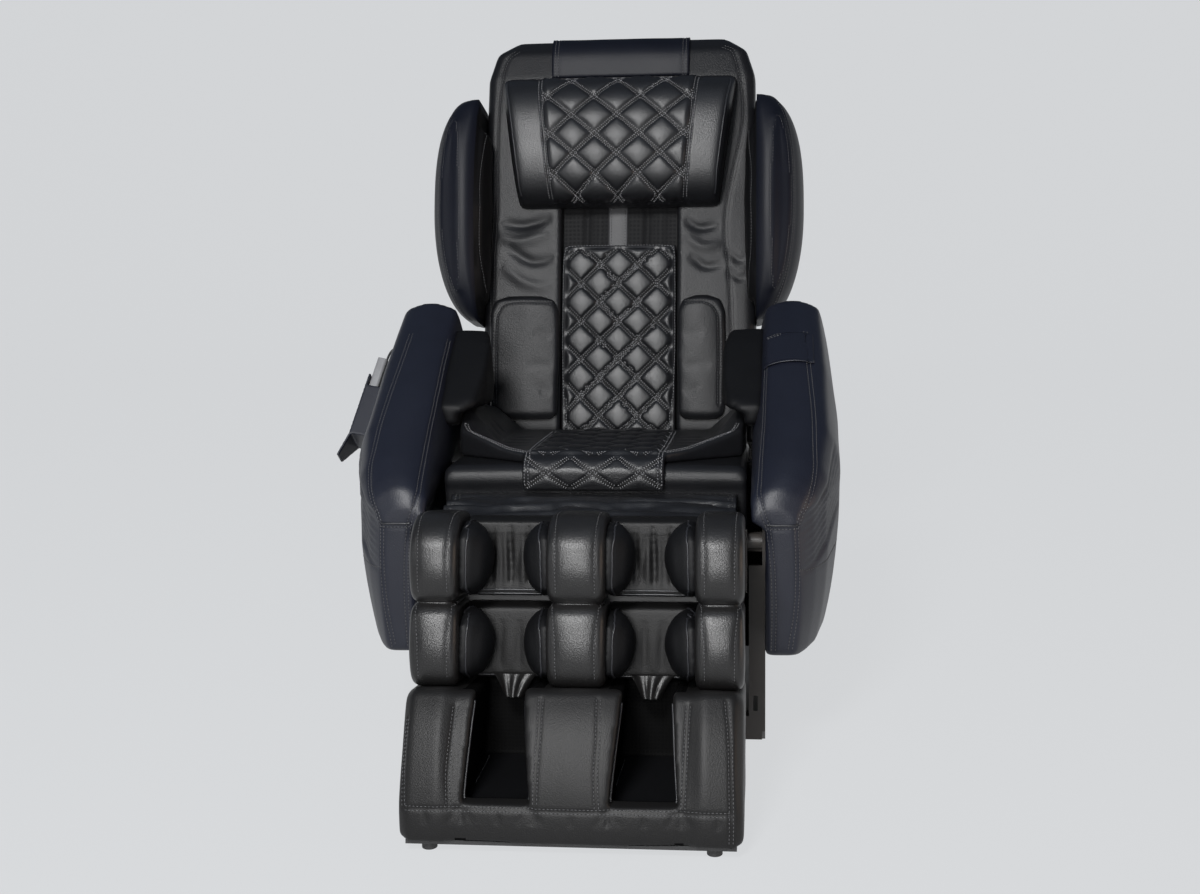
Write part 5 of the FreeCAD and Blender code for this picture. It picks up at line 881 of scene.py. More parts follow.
def make_backdrop_look(colour):
    """A pale surface that looks even to the camera and still takes the chair's shadow."""
    material = bpy.data.materials.new("Backdrop")
    material.use_nodes = True
    tree = material.node_tree
    shader = tree.nodes["Principled BSDF"]
    set_inputs(shader, **{"Roughness": 0.9, "Base Color": (*colour, 1)})
    glow = add_node(tree, "ShaderNodeEmission")
    set_inputs(glow, Color=(*colour, 1), Strength=1.0)
    path = add_node(tree, "ShaderNodeLightPath")
    seen = math_node(tree, "MAXIMUM", path.outputs["Is Camera Ray"],
                     math_node(tree, "MAXIMUM", path.outputs["Is Glossy Ray"],
                               path.outputs["Is Transmission Ray"]))
    mix = add_node(tree, "ShaderNodeMixShader")
    tree.links.new(times(tree, seen, 1 - SHADOW_SHARE), mix.inputs["Fac"])
    tree.links.new(shader.outputs["BSDF"], mix.inputs[1])
    tree.links.new(glow.outputs["Emission"], mix.inputs[2])
    tree.links.new(mix.outputs["Shader"], tree.nodes["Material Output"].inputs["Surface"])
    return material


def make_world(background, ambient):
    """Soft light from all round, and the backdrop's tone where the camera looks past it."""
    world = bpy.data.worlds.new("studio")
    world.use_nodes = True
    tree = world.node_tree
    shade = tree.nodes["Background"]
    set_inputs(shade, Color=SKY_TINT, Strength=ambient)
    seen = add_node(tree, "ShaderNodeBackground")
    set_inputs(seen, Color=(*background, 1), Strength=UNLIT_WALL)
    path = add_node(tree, "ShaderNodeLightPath")
    mix = add_node(tree, "ShaderNodeMixShader")
    tree.links.new(path.outputs["Is Camera Ray"], mix.inputs["Fac"])
    tree.links.new(shade.outputs["Background"], mix.inputs[1])
    tree.links.new(seen.outputs["Background"], mix.inputs[2])
    tree.links.new(mix.outputs["Shader"], tree.nodes["World Output"].inputs["Surface"])
    return world


class CHAIR_OT_stage(bpy.types.Operator):
    """Set up the floor, backdrop, soft lamps and the camera"""
    bl_idname = "chair.stage"
    bl_label = "Stage"

    def execute(self, context):
        stage = context.scene.stage_settings
        background = tuple(stage.background)
        floor = sheet_mesh("backdrop", 8, 80, backdrop_point, 0.01, Matrix.Identity(4))
        floor.data.shade_smooth()
        floor.data.materials.append(make_backdrop_look(background))
        camera_data = bpy.data.cameras.new("camera")
        camera_data.lens = stage.lens
        camera_data.sensor_width = 36
        camera = bpy.data.objects.new("camera", camera_data)
        context.collection.objects.link(camera)
        camera.matrix_world = Matrix.Translation(CHAIR @ Vector(CAMERA_PLACE)) @ camera_turn().to_4x4()
        context.scene.camera = camera
        context.scene.world = make_world(background, stage.ambient)
        for name, place, width, share, colour in LAMPS:
            lamp_data = bpy.data.lights.new(name, "AREA")
            lamp_data.size = width
            lamp_data.color = colour
            lamp_data.energy = stage.key_power * share
            lamp = bpy.data.objects.new(name, lamp_data)
            context.collection.objects.link(lamp)
            lamp.location = place
            lamp.rotation_euler = (CHAIR_MIDDLE - Vector(place)).to_track_quat("-Z", "Y").to_euler()
        context.scene.view_settings.view_transform = "Standard"
        return {"FINISHED"}


# Handset and its cord

CORD_DIAMETER = 4.0
HANDSET_HALF_LENGTH = 75
HANDSET_HALF_THICKNESS = 8.5
STRAIN_RELIEF = 8
HANK_HALF_WIDTH = 25.5
HANK_RUN = 22
HANK_PITCH = 4.5
HANK_TURNS = 3
HANK_DROP = 96


def hank_points(across, deep, top):
    """Control points of the put-away cord: turns that spiral in on one layer and out on the next."""
    points = []
    growth = -1
    for half_turn in range(4 * HANK_TURNS):
        down = half_turn % 2 == 0
        start, end = (top, top - HANK_RUN) if down else (top - HANK_RUN, top)
        climbs = half_turn == 2 * HANK_TURNS
        if climbs:
            growth = 1
        for share in (0.25, 0.75):
            rise = HANK_PITCH * share if climbs else 0
            points.append((deep + rise, across, start + (end - start) * share))
        if climbs:
            deep += HANK_PITCH
        other = -math.copysign(abs(across) + growth * HANK_PITCH / 2, across)
        bend = (abs(across) + abs(other)) / 2
        centre = (across + other) / 2
        for number in range(5):
            angle = math.pi * (number + 0.5) / 5
            reach = bend * 1.05
            sign = math.copysign(1, across)
            height = -math.sin(angle) if down else math.sin(angle)
            points.append((deep, centre + sign * reach * math.cos(angle), end + reach * height))
        across = other
    points.append((deep, across, top - HANK_RUN / 2))
    return points


class CHAIR_OT_handset(bpy.types.Operator):
    """Make the handset's cord and the leather pocket on the left arm"""
    bl_idname = "chair.handset"
    bl_label = "Handset cord and pocket"

    def execute(self, context):
        top = HANDSET_HALF_LENGTH + STRAIN_RELIEF
        back = HANDSET_HALF_THICKNESS + 6
        route = [(0, 0, top), (0, 0, top + 14), (5, 0, top + 27), (14, 2, top + 27),
                 (back + 4, 4, top + 13), (back, 8, top - 9), (back + 0.6, 14, top - 32),
                 (back - 1, 21, top - 54), (back - 2, HANK_HALF_WIDTH, top - 75),
                 (back - 2, HANK_HALF_WIDTH, top - HANK_DROP)]
        route += hank_points(HANK_HALF_WIDTH, back - 2, top - HANK_DROP - CORD_DIAMETER)
        points = [POCKET @ Vector(point) for point in route]
        curve = bpy.data.curves.new("handset_lead", "CURVE")
        curve.dimensions = "3D"
        spline = curve.splines.new("NURBS")
        spline.points.add(len(points) - 1)
        for control, point in zip(spline.points, points):
            control.co = (*point, 1)
        spline.order_u = 3
        spline.use_endpoint_u = True
        curve.bevel_depth = CORD_DIAMETER / 2 * MM
        curve.bevel_resolution = 4
        curve.resolution_u = 8
        cord = bpy.data.objects.new("handset_lead", curve)
        context.collection.objects.link(cord)
        put(cord, "Cord sheath", "base", "cord_rubber", "handset_cord", "cord_hank")
        tuple(points[0])
        pocket = cover_from("remote_pocket", "pocket_pouch", 1.6, 3, 0)
        put(pocket, "Arm leather", "base", "pocket_leather", "remote_pocket")
        return {"FINISHED"}


# Backrest

BACK_FRONT = -48
CHANNEL_BOTTOM = 45
CLOTH_DEPTH = -22
STRAP_WIDTH = 37
STRAP_LENGTH = 120
STRAP_BOTTOM = 396
STRAP_MIDDLE = -4
LUMBAR_FRONT = -70
FLAP_HALF_WIDTH = 129
# The flap's line from the pillow over the top and down the rear: back and up
FLAP_LINE = [(-50, 728), (-52.5, 760), (-50, 780), (-38, 800), (-18, 810), (20, 811.5), (84, 811.5),
             (104, 803), (126, 782), (143, 765), (158, 730), (167, 700)]


def on_front(*points):
    """Points in front of the backrest's cover, from across and up."""
    return [(across, BACK_FRONT, up) for across, up in points]


def back_seams():
    """The long double seams at the backrest's sides."""
    left = on_front((-233, 70), (-236, 200), (-238, 360), (-233, 480), (-233, 640), (-222, 750), (-196, 795))
    right = on_front((212, 70), (210, 250), (206, 340), (198, 430), (202, 490), (216, 560), (231, 640),
                     (228, 710), (212, 775), (190, 798))
    return [double_seam(*left), double_seam(*right)]


def back_creases():
    """Folds of the backrest's cover under the pillow and beside its right seam."""
    folds = (
        (on_front((-225, 455), (-180, 448), (-125, 462)), 5.0, 9),
        (on_front((-228, 430), (-190, 418), (-130, 432)), -3.4, 10),
        (on_front((-215, 410), (-165, 380), (-120, 386)), 4.0, 9),
        (on_front((-220, 372), (-175, 340), (-125, 330)), -2.8, 10),
        (on_front((120, 455), (150, 440), (188, 446)), 4.4, 8),
        (on_front((122, 425), (155, 405), (190, 410)), -3.0, 9),
        (on_front((130, 390), (160, 368), (195, 372)), 3.6, 8),
        (on_front((200, 400), (220, 380), (240, 382)), 2.6, 7),
        (on_front((202, 362), (222, 345), (243, 350)), 2.6, 7),
    )
    return [crease(*line, depth=depth, width=width) for line, depth, width in folds]


class CHAIR_OT_backrest(bpy.types.Operator):
    """Make the backrest's cushion, flap, roller cloth, quilted strip and lumbar pads"""
    bl_idname = "chair.backrest"
    bl_label = "Backrest"

    def execute(self, context):
        cushion = cover_from("back_cushion", "backrest_cushion", 4, 18, 1.5)
        uneven(cushion, BACK, 0.8, 70)
        put(cushion, "Back leather", "back", "foam_leather", "back_cushion")
        sew(cushion, BACK, back_seams() + back_creases())
        self.make_cloth()
        self.make_strap()
        self.make_quilt()
        for word, side, outer in (("left", -1, 236), ("right", 1, 196)):
            self.make_lumbar_pad(word, side, outer)
        self.make_flap()
        return {"FINISHED"}

    def make_cloth(self):
        """Black cloth over the roller channel, with long upright folds."""
        half, high = 108.6, 699

        def point(u, v):
            across = (u - 0.5) * 2 * half
            up = CHANNEL_BOTTOM + v * (high - CHANNEL_BOTTOM)
            fold = 0
            for middle, depth, width in ((-65, 3.0, 6), (-40, -1.5, 9), (48, 3.0, 6), (78, -1.6, 10)):
                sway = 3 * math.sin(up / 46 + middle)
                fold += 1.3 * depth * math.exp(-((across - middle - sway) / width) ** 2)
            ripple = 0.6 * noise.noise(Vector((across / 22, up / 60, 0)))
            return (across, CLOTH_DEPTH + fold + ripple, up)

        cloth = sheet_mesh("roller_cover", 60, 150, point, 2.2, BACK)
        put(cloth, "Roller cloth", "back", "cloth", "roller_cloth")

    def make_strap(self):
        """A flat strap that runs from the pillow down behind the quilted strip."""
        def point(u, v):
            return ((u - 0.5) * STRAP_WIDTH + STRAP_MIDDLE, CLOTH_DEPTH - 2.4 - 0.8 * math.sin(math.pi * u),
                    STRAP_BOTTOM + v * STRAP_LENGTH)

        strap = sheet_mesh("cloth_strap", 10, 30, point, 1.4, BACK)
        put(strap, "Strap leather", "back", "cloth")
        sew(strap, BACK, [single_seam((across, -26, 400), (across, -26, 512), depth=0.2)
                          for across in (STRAP_MIDDLE - 13, STRAP_MIDDLE + 13)])

    def make_quilt(self):
        """Quilted strip over the roller channel."""
        half, high = 106, 411
        quilting = Quilting(8 - half, CHANNEL_BOTTOM + 16, half - 8, high - 8)
        quilt = cover_from("back_quilt", "quilted_strip", 2.4, 10, 0.5)
        push(quilt, BACK, lambda point, normal: 0 if normal.y > -0.4 else quilting.rise(point.x, point.z))
        put(quilt, "Quilted leather", "back", "quilted_leather", "back_quilt")
        seams = quilting.seams(lambda across, up: (across, -52, up))
        edge = half - 6
        seams.append(single_seam((-edge, -50, CHANNEL_BOTTOM + 8), (-edge, -50, high - 5),
                                 (edge, -50, high - 5), (edge, -50, CHANNEL_BOTTOM + 8)))
        sew(quilt, BACK, seams, "Thread")

    def make_lumbar_pad(self, word, side, outer):
        """A soft pad beside the quilted strip, sewn round its upper outer corner."""
        node = "lumbar_pad_" + word
        pad = cover_from(node, "lumbar_" + word, 3, 12, 3)
        uneven(pad, BACK, 1.0, 55)
        put(pad, "Back leather", "back", "foam_leather", node)
        edge = [(side * across, LUMBAR_FRONT, up) for across, up in
                ((120, 300), (outer - 36, 300), (outer - 14, 284), (outer - 8, 250), (outer - 8, 110))]
        seams = [double_seam(*edge, rows=(-3, 3))]
        for base, lift, reach in ((128, 12, 150), (176, 7, 172), (232, 10, 158)):
            fold = ((122, base), (142, base + lift), (reach, base + lift * 0.6))
            seams.append(crease(*[(side * across, LUMBAR_FRONT, up) for across, up in fold],
                                depth=1.2, width=10))
        sew(pad, BACK, seams)

    def make_flap(self):
        """Leather flap from the pillow over the top and down the rear."""
        line = smooth_line([(0, back, up) for back, up in FLAP_LINE], False, 6)

        def point(u, v):
            place = line[min(int(v * (len(line) - 1) + 0.5), len(line) - 1)]
            sag = 0.5 * noise.noise(Vector((u * 4, v * 5, 2)))
            return ((u - 0.5) * 2 * FLAP_HALF_WIDTH, place.y - sag, place.z + sag)

        flap = sheet_mesh("crown_flap", 50, len(line) - 1, point, 2.4, BACK)
        put(flap, "Wing leather", "back", "soft_leather", "top_flap")
        sides = [double_seam(*[(side * (FLAP_HALF_WIDTH - 9), back, up) for back, up in FLAP_LINE[:8]],
                             rows=(-3, 3), depth=1.0)
                 for side in (-1, 1)]
        sew(flap, BACK, sides)


# Head pillow

PILLOW_REAR = 48.6
PILLOW_DEPTH = 73
PILLOW_BOTTOM = 479
PILLOW_TOP = 724
PILLOW_HEIGHT = PILLOW_TOP - PILLOW_BOTTOM
PILLOW_HALF_WIDTH = 185
PILLOW_FLARE = 33
PILLOW_END_POWER = 36
QUILTED_HALF_WIDTH = 120


def bolster_depth(share):
    """How deep the pillow is at a share of its height, from 0 at its edges to 1."""
    return max(0.0, 1 - abs(2 * share - 1) ** 2.9) ** 0.5


def slant(up):
    """How much wider than at its bottom the pillow's quilted middle is at a height."""
    return 1 + 0.2 * (up - PILLOW_BOTTOM) / PILLOW_HEIGHT


def on_pillow(across, up):
    """A point of the pillow's front, where across follows its slanting middle."""
    depth = PILLOW_DEPTH * bolster_depth((up - PILLOW_BOTTOM) / PILLOW_HEIGHT)
    return (across * slant(up), -PILLOW_REAR - depth, up)


def pillow_seams():
    """Seams beside the quilting, piping round both ends and gathers along the upper and lower edge."""
    seams = []
    for side in (-1, 1):
        border = [on_pillow(side * 122, PILLOW_BOTTOM + 10 + number / 6 * (PILLOW_HEIGHT - 18))
                  for number in range(7)]
        seams.append(double_seam(*border, depth=2.0, rows=(-3, 3)))
        cap = []
        for number in range(7):
            up = PILLOW_BOTTOM + 14 + number / 6 * (PILLOW_HEIGHT - 28)
            flare = PILLOW_FLARE * (up - PILLOW_BOTTOM) / PILLOW_HEIGHT
            cap.append((side * (PILLOW_HALF_WIDTH + flare - 8), on_pillow(0, up)[1], up))
        seams.append(piping(*cap))
    for number in range(15):
        across = -126 + number * 18
        for up, out in ((PILLOW_TOP - 1, 1), (PILLOW_BOTTOM + 1, -1)):
            seams.append(crease(on_pillow(across, up), on_pillow(across, up - 5 * out),
                                on_pillow(across, up - 16 * out), depth=1.8, width=4.5))
    return seams


class CHAIR_OT_pillow(bpy.types.Operator):
    """Make the quilted head pillow"""
    bl_idname = "chair.pillow"
    bl_label = "Head pillow"

    def execute(self, context):
        quilting = Quilting(-QUILTED_HALF_WIDTH, PILLOW_BOTTOM + 5, QUILTED_HALF_WIDTH, PILLOW_TOP - 5)
        pillow = self.make_bolster("neck_pillow")

        def rise(point, normal):
            across = point.x / slant(point.z)
            if normal.y > -0.2 or abs(across) > QUILTED_HALF_WIDTH or point.y > -56:
                return 0
            return quilting.rise(across, point.z)

        push(pillow, BACK, rise)
        put(pillow, "Quilted leather", "pillow", "quilted_leather", "head_pillow")
        sew(pillow, BACK, quilting.seams(on_pillow) + pillow_seams(), "Thread")
        return {"FINISHED"}

    def make_bolster(self, name):
        """A closed bolster, flat at its rear, whose depth eases off towards its two end caps."""
        columns, around, rear_rows = ((190, 96, 12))
        points = []
        for column in range(columns + 1):
            across = 2 * column / columns - 1
            end = abs(across) ** PILLOW_END_POWER
            ring = []
            for step in range(around + 1):
                turn = math.pi * (step / around - 0.5)
                share = 0.5 + 0.5 * math.copysign(abs(math.sin(turn)) ** (1 / 1.2), math.sin(turn))
                ring.append((share, bolster_depth(share) * PILLOW_DEPTH * (1 - 0.3 * end)))
            ring += [(1 - step / rear_rows, 0) for step in range(1, rear_rows)]
            for share, depth in ring:
                share = 0.5 + (share - 0.5) * (1 - 0.05 * end)
                half = PILLOW_HALF_WIDTH + PILLOW_FLARE * share
                points.append((across * half, -PILLOW_REAR - depth, PILLOW_BOTTOM + share * PILLOW_HEIGHT))
        return lofted(name, points, columns, around + rear_rows)


# Shoulder wings

WING_INNER = 254.5
WING_BULGE = 86
WING_MIDDLE = 464
WING_HALF_HEIGHT = 205
WING_HALF_DEPTH = 106
WING_FORWARD = 66
FULLER_TOP = 2.7
FULLER_BOTTOM = 2.1


def wing_point(side, tilt, turn):
    """A point of a wing: tilt goes up its oval outline and turn goes round it from front to rear."""
    share = math.sin(math.radians(tilt))
    fullness = FULLER_TOP if share > 0 else FULLER_BOTTOM
    scale = (1 - abs(share) ** fullness) ** (1 / fullness)
    deep = WING_HALF_DEPTH * (0.35 + 0.65 * scale)
    across, along = math.cos(math.radians(turn)), math.sin(math.radians(turn))
    out = WING_BULGE * scale * abs(across) ** 0.62
    back = deep * math.copysign(abs(along) ** 0.85, along)
    return (side * (WING_INNER + out), -WING_FORWARD - 6 * share + back,
            WING_MIDDLE + share * WING_HALF_HEIGHT)


class CHAIR_OT_wings(bpy.types.Operator):
    """Make the shoulder wings' covers and their inner air pads"""
    bl_idname = "chair.wings"
    bl_label = "Shoulder wings"

    def execute(self, context):
        for word, side in SIDES:
            self.make_shell(word, side)
            self.make_pad(word, side)
        return {"FINISHED"}

    def make_shell(self, word, side):
        """A closed bowed shell: oval from the side, rounded outwards, flat towards the backrest."""
        rings, around = ((72, 40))
        points = []
        for ring in range(rings + 1):
            tilt = -88 + 176 * ring / rings
            points += [wing_point(side, tilt, -90 + 180 * step / around) for step in range(around + 1)]
        shell = lofted("wing_cover_" + word, points, rings, around + 1, mirrored=side < 0)
        put(shell, "Wing leather", "back", "wing_cover", "wing_shell_" + word)
        rims = [double_seam(*[wing_point(side, tilt, turn) for tilt in range(-80, 81, 10)], rows=(-3, 3))
                for turn in (-50, 38)]
        hollow = [wing_point(side, 48 * math.sin(angle), -70 + 12 * math.cos(angle))
                  for angle in (math.radians(30 * number) for number in range(12))]
        sew(shell, BACK, rims + [single_seam(*hollow, depth=5.0, width=8.0, closed=True)])

    def make_pad(self, word, side):
        """The soft air pad on a wing's inner side, sewn along its front."""
        pad = cover_from("wing_pad_" + word, "wing_air_pad_" + word, 3.4, 22, 1.5)
        uneven(pad, BACK, 1.2, 60)
        put(pad, "Air pad leather", "back", "soft_leather", "wing_pad_" + word)
        edge = [(side * (WING_INNER - 12 * math.cos(tilt)), -WING_FORWARD - 92 * math.cos(tilt),
                 WING_MIDDLE + 0.78 * WING_HALF_HEIGHT * math.sin(tilt))
                for tilt in (math.radians(degrees) for degrees in range(-70, 71, 14))]
        sew(pad, BACK, [single_seam(*edge)])


# Seat

SEAT_FRONT = 457
SEAT_REAR = 850
SEAT_FRONT_HEIGHT = 446
SEAT_REAR_HEIGHT = 394
GUSSET_BOTTOM = 90
GUSSET_HEIGHT = 324
GUSSET_PLACE = 600
OVERLAY_HALF_WIDTH = 104
APRON_HALF_WIDTH = 226
APRON_FRONT = 304
APRON_REAR = 443.5
# The overlay's lip that rolls down over the seat's front: back and up
LIP_LINE = ((424, 416), (423, 428), (424, 440), (430, 452), (446, 459))


def seat_top(back):
    """Height of the seat cushion's top at a place back from the front."""
    share = (back - SEAT_FRONT) / (SEAT_REAR - SEAT_FRONT)
    return SEAT_FRONT_HEIGHT + share * (SEAT_REAR_HEIGHT - SEAT_FRONT_HEIGHT)


def over_seat(across, back):
    """A point just above the seat's overlay."""
    return (across, back, seat_top(back) + 20)


def lip_seams(wide):
    """The last half diamonds, which run down over the lip."""
    return [quilting_seam(*[(middle + slope * (step - 2) * wide * 0.23, back, up)
                            for step, (back, up) in enumerate(LIP_LINE)])
            for middle in (-wide, 0, wide) for slope in (-1, 1)]


def overlay_side_seams(side):
    """Seams between the quilted middle and a raised side, across the raised side, and its folds."""
    edge = [(side * 106, back, up) for back, up in ((424, 418), (423, 440), (432, 453), (470, 464))]
    edge += [over_seat(side * 108, back) for back in (600, 800)]
    flap = [(side * across, back, up) for across, back, up in
            ((112, 466, 464), (138, 486, 470), (162, 508, 480), (190, 534, 494), (222, 566, 506))]
    seams = [double_seam(*edge, rows=(-3, 3)), double_seam(*flap, rows=(-2.6, 2.6))]
    for back in range(560, 699, 46):
        seams.append(crease((side * 118, back, 460), (side * 150, back + 10, 470),
                            (side * 190, back + 6, 480), depth=2.2, width=9))
    return seams


class CHAIR_OT_seat(bpy.types.Operator):
    """Make the seat cushion, its quilted overlay and the front apron"""
    bl_idname = "chair.seat"
    bl_label = "Seat"

    def execute(self, context):
        cushion = cover_from("seat_cushion", "seat_pad", 4, 10, 2)
        put(cushion, "Seat leather", "base", "foam_leather", "seat_cushion")
        for word, side in SIDES:
            self.make_gusset(word, side)
        self.make_overlay()
        self.make_apron()
        return {"FINISHED"}

    def make_gusset(self, word, side):
        """Black cloth that closes the slot between the seat and an arm; its near-black is partly painted
        shade of the deep slot.
        """
        def point(u, v):
            up = GUSSET_BOTTOM + GUSSET_HEIGHT * v
            inner = 226 if up < 318 else 239 if up < 334 else 240.8
            outer = 265.8 if up < 322 else 269.5 - max(0, up - 378) * 0.34
            slack = 5 * noise.noise(Vector((u, v * 3, side))) * math.sin(math.pi * v)
            return (side * (inner + (outer - inner) * u), GUSSET_PLACE + slack, up)

        gusset = sheet_mesh("side_gusset_" + word, 8, 60, point, 1.6, CHAIR)
        put(gusset, "Lining cloth", "base", "cloth")

    def make_overlay(self):
        """Quilted overlay on the seat, with a lip over its front and raised sides."""
        quilting = Quilting(-OVERLAY_HALF_WIDTH, 454, OVERLAY_HALF_WIDTH, 800)
        overlay = cover_from("seat_overlay", "seat_overlay_pad", 2.8, 14, 1)

        def rise(point, normal):
            if normal.z < 0.4 or abs(point.x) > OVERLAY_HALF_WIDTH:
                return 0
            return quilting.rise(point.x, point.y)

        push(overlay, CHAIR, rise)
        put(overlay, "Quilted leather", "base", "quilted_leather", "seat_overlay")
        seams = quilting.seams(over_seat) + lip_seams(quilting.wide)
        for side in (-1, 1):
            seams += overlay_side_seams(side)
        sew(overlay, CHAIR, seams, "Thread")

    def make_apron(self):
        """Wrinkled leather from under the seat's roll to the top of the calf unit."""
        def point(u, v):
            across = (u - 0.5) * 2 * APRON_HALF_WIDTH
            back = APRON_FRONT + v * (APRON_REAR - APRON_FRONT)
            slant = abs(across) / 40 + back / 6
            fold = 6.0 * math.sin(slant + 2.6 * noise.noise(Vector((across / 60, back / 30, 0))))
            fold += 1.8 * noise.noise(Vector((across / 26, back / 12, 4)))
            hem = 1.4 * math.exp(-(((back - APRON_FRONT) - 8) / 4) ** 2)
            return (across, back, 403.5 - 4 * (1 - v) + fold * math.sin(math.pi * v) * 0.9 + hem)

        apron = sheet_mesh("seat_apron", 170, 44, point, 2.6, CHAIR)
        put(apron, "Quilted leather", None, "soft_leather", "front_apron")
        sides = [double_seam((side * 216, 436, 404), (side * 216, 370, 402), (side * 216, 308, 400))
                 for side in (-1, 1)]
        sew(apron, CHAIR, sides + [single_seam((-210, 318, 401), (0, 318, 401), (210, 318, 401))])
        for piece in [apron] + list(apron.children):
            piece.parent = None
            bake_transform(piece)


# Arms

BAND_START = 612
BAND_WIDTH = 84
BAND_REACH = 74


def arm_seams(side):
    """The long outer seam, the front strip's seams and the seam across the front."""
    def mirrored(*points):
        return [(side * across, back, up) for across, back, up in points]

    crown = mirrored((338, 690, 622), (341, 600, 572), (345, 500, 520), (346, 423, 483), (343, 367, 445),
                     (328, 330, 408), (318, 320, 385))
    outer_strip = mirrored((318, 320, 385), (320, 318, 330), (318, 318, 260), (308, 320, 188))
    inner_strip = mirrored((274, 320, 388), (281, 318, 330), (284, 318, 260), (283, 320, 188))
    inner_crown = mirrored((262, 690, 615), (262, 600, 570), (262, 500, 518), (262, 420, 478),
                           (262, 350, 440), (268, 324, 405), (274, 320, 388))
    across = mirrored((272, 320, 388), (296, 316, 388), (320, 320, 388))
    flank = mirrored((320, 322, 318), (345, 342, 312), (372, 400, 312), (388, 500, 322), (390, 640, 345),
                     (388, 800, 372))
    seams = [double_seam(*line, rows=(-3, 3)) for line in (crown, outer_strip, inner_strip, inner_crown)]
    seams.append(piping(*across))
    seams.append(single_seam(*[(x, y, z - 6) for x, y, z in across]))
    seams.append(single_seam(*flank))
    return seams


def arm_pleats(side):
    """Gathered pleats on the arm's flank behind the front strip."""
    return [crease((side * 322, 324, up - 10), (side * 344, 352, up - 2), (side * 366, 410, up + 30),
                   (side * 378, 480, up + 70), depth=5.0, width=5)
            for up in range(408, 323, -12)]


class CHAIR_OT_arms(bpy.types.Operator):
    """Make the arms' covers, their inner air pads and the band across the right arm"""
    bl_idname = "chair.arms"
    bl_label = "Arms"

    def execute(self, context):
        for word, side in SIDES:
            arm = cover_from("arm_cover_" + word, "arm_" + word, 3.8, 22, 2.6)
            uneven(arm, CHAIR, 0.8, 90)
            put(arm, "Arm leather", "base", "foam_leather", "arm_cover_" + word)
            sew(arm, CHAIR, arm_seams(side) + arm_pleats(side))
            node = "arm_air_pad_" + word
            pad = cover_from(node, "arm_pad_" + word, 3.4, 16, 4)
            uneven(pad, CHAIR, 1.0, 50)
            put(pad, "Air pad leather", "base", "soft_leather", node)
        self.make_band()
        return {"FINISHED"}

    def make_band(self):
        """Leather band across the top of the right arm, stitched at its upper edge."""
        tree = surface_tree(bpy.data.objects["arm_right"])

        def point(u, v):
            across, back = 264 + BAND_WIDTH * u, BAND_START + BAND_REACH * v
            found, normal, _, _ = tree.find_nearest(CHAIR @ Vector((across, back, 520 + 0.48 * (back - 500))))
            roll = 2.0 * math.exp(-(v / 0.06) ** 2)
            return tuple(CHAIR.inverted() @ (found + normal * ((2.4 + roll) * MM)))

        band = sheet_mesh("arm_band", 40, 36, point, 1.8, CHAIR)
        put(band, "Arm leather", "base", "soft_leather")
        sew(band, CHAIR, [double_seam((268, 680, 612), (300, 680, 616), (344, 680, 612), depth=0.4,
                                      rows=(-2, 2))])


# Calf and foot units

LEG_SINE = math.sin(math.radians(LEG_TILT))
LEG_COSINE = math.cos(math.radians(LEG_TILT))
LEG_HINGE_HEIGHT = 340
# Top and bottom of the two rows of calf pads, up from the leg hinge
CALF_ROWS = ((50, -75), (-78, -197))
CHANNEL_MIDDLE = 107
LINING_FRONT = -150
SOLE_WIDTH = 97
SOLE_LENGTH = 186


def leg_point(across, reach, height):
    """A point of the leg's frame at a height above the floor and a reach out from the hinge."""
    return (across, -reach, -(LEG_HINGE_HEIGHT - height + reach * LEG_SINE) / LEG_COSINE)


def leaf_bulge(across, reach, down):
    """How far an air leaf stands into its channel at a place of its inner side."""
    for top, bottom in CALF_ROWS:
        if bottom < down < top:
            tall = math.sin(math.pi * (down - bottom) / (top - bottom)) ** 0.8
            near = math.sin(math.pi * min(1.0, max(0.0, (-reach - 138) / 88)))
            return (34 if abs(across) > CHANNEL_MIDDLE else 28) * tall * near
    return 0.0


def lining_folds(side, top, bottom, ridges, count, depth, sway_start):
    """Ridges along the foot of a channel's lining, and upright folds above them."""
    folds = []
    for rise in ridges:
        folds.append(piping(*[(side * across, LINING_FRONT, bottom + rise) for across in (58, 106, 156)]))
    for number in range(count):
        across = side * (66 + number * (82 / (count - 1)))
        sway = 3 * math.sin(number * 2.3 + sway_start)
        folds.append(crease((across, LINING_FRONT, bottom + 12), (across + sway, LINING_FRONT, bottom + 40),
                            (across - sway * 0.5, LINING_FRONT, top - 30), depth=depth, width=6))
    return folds


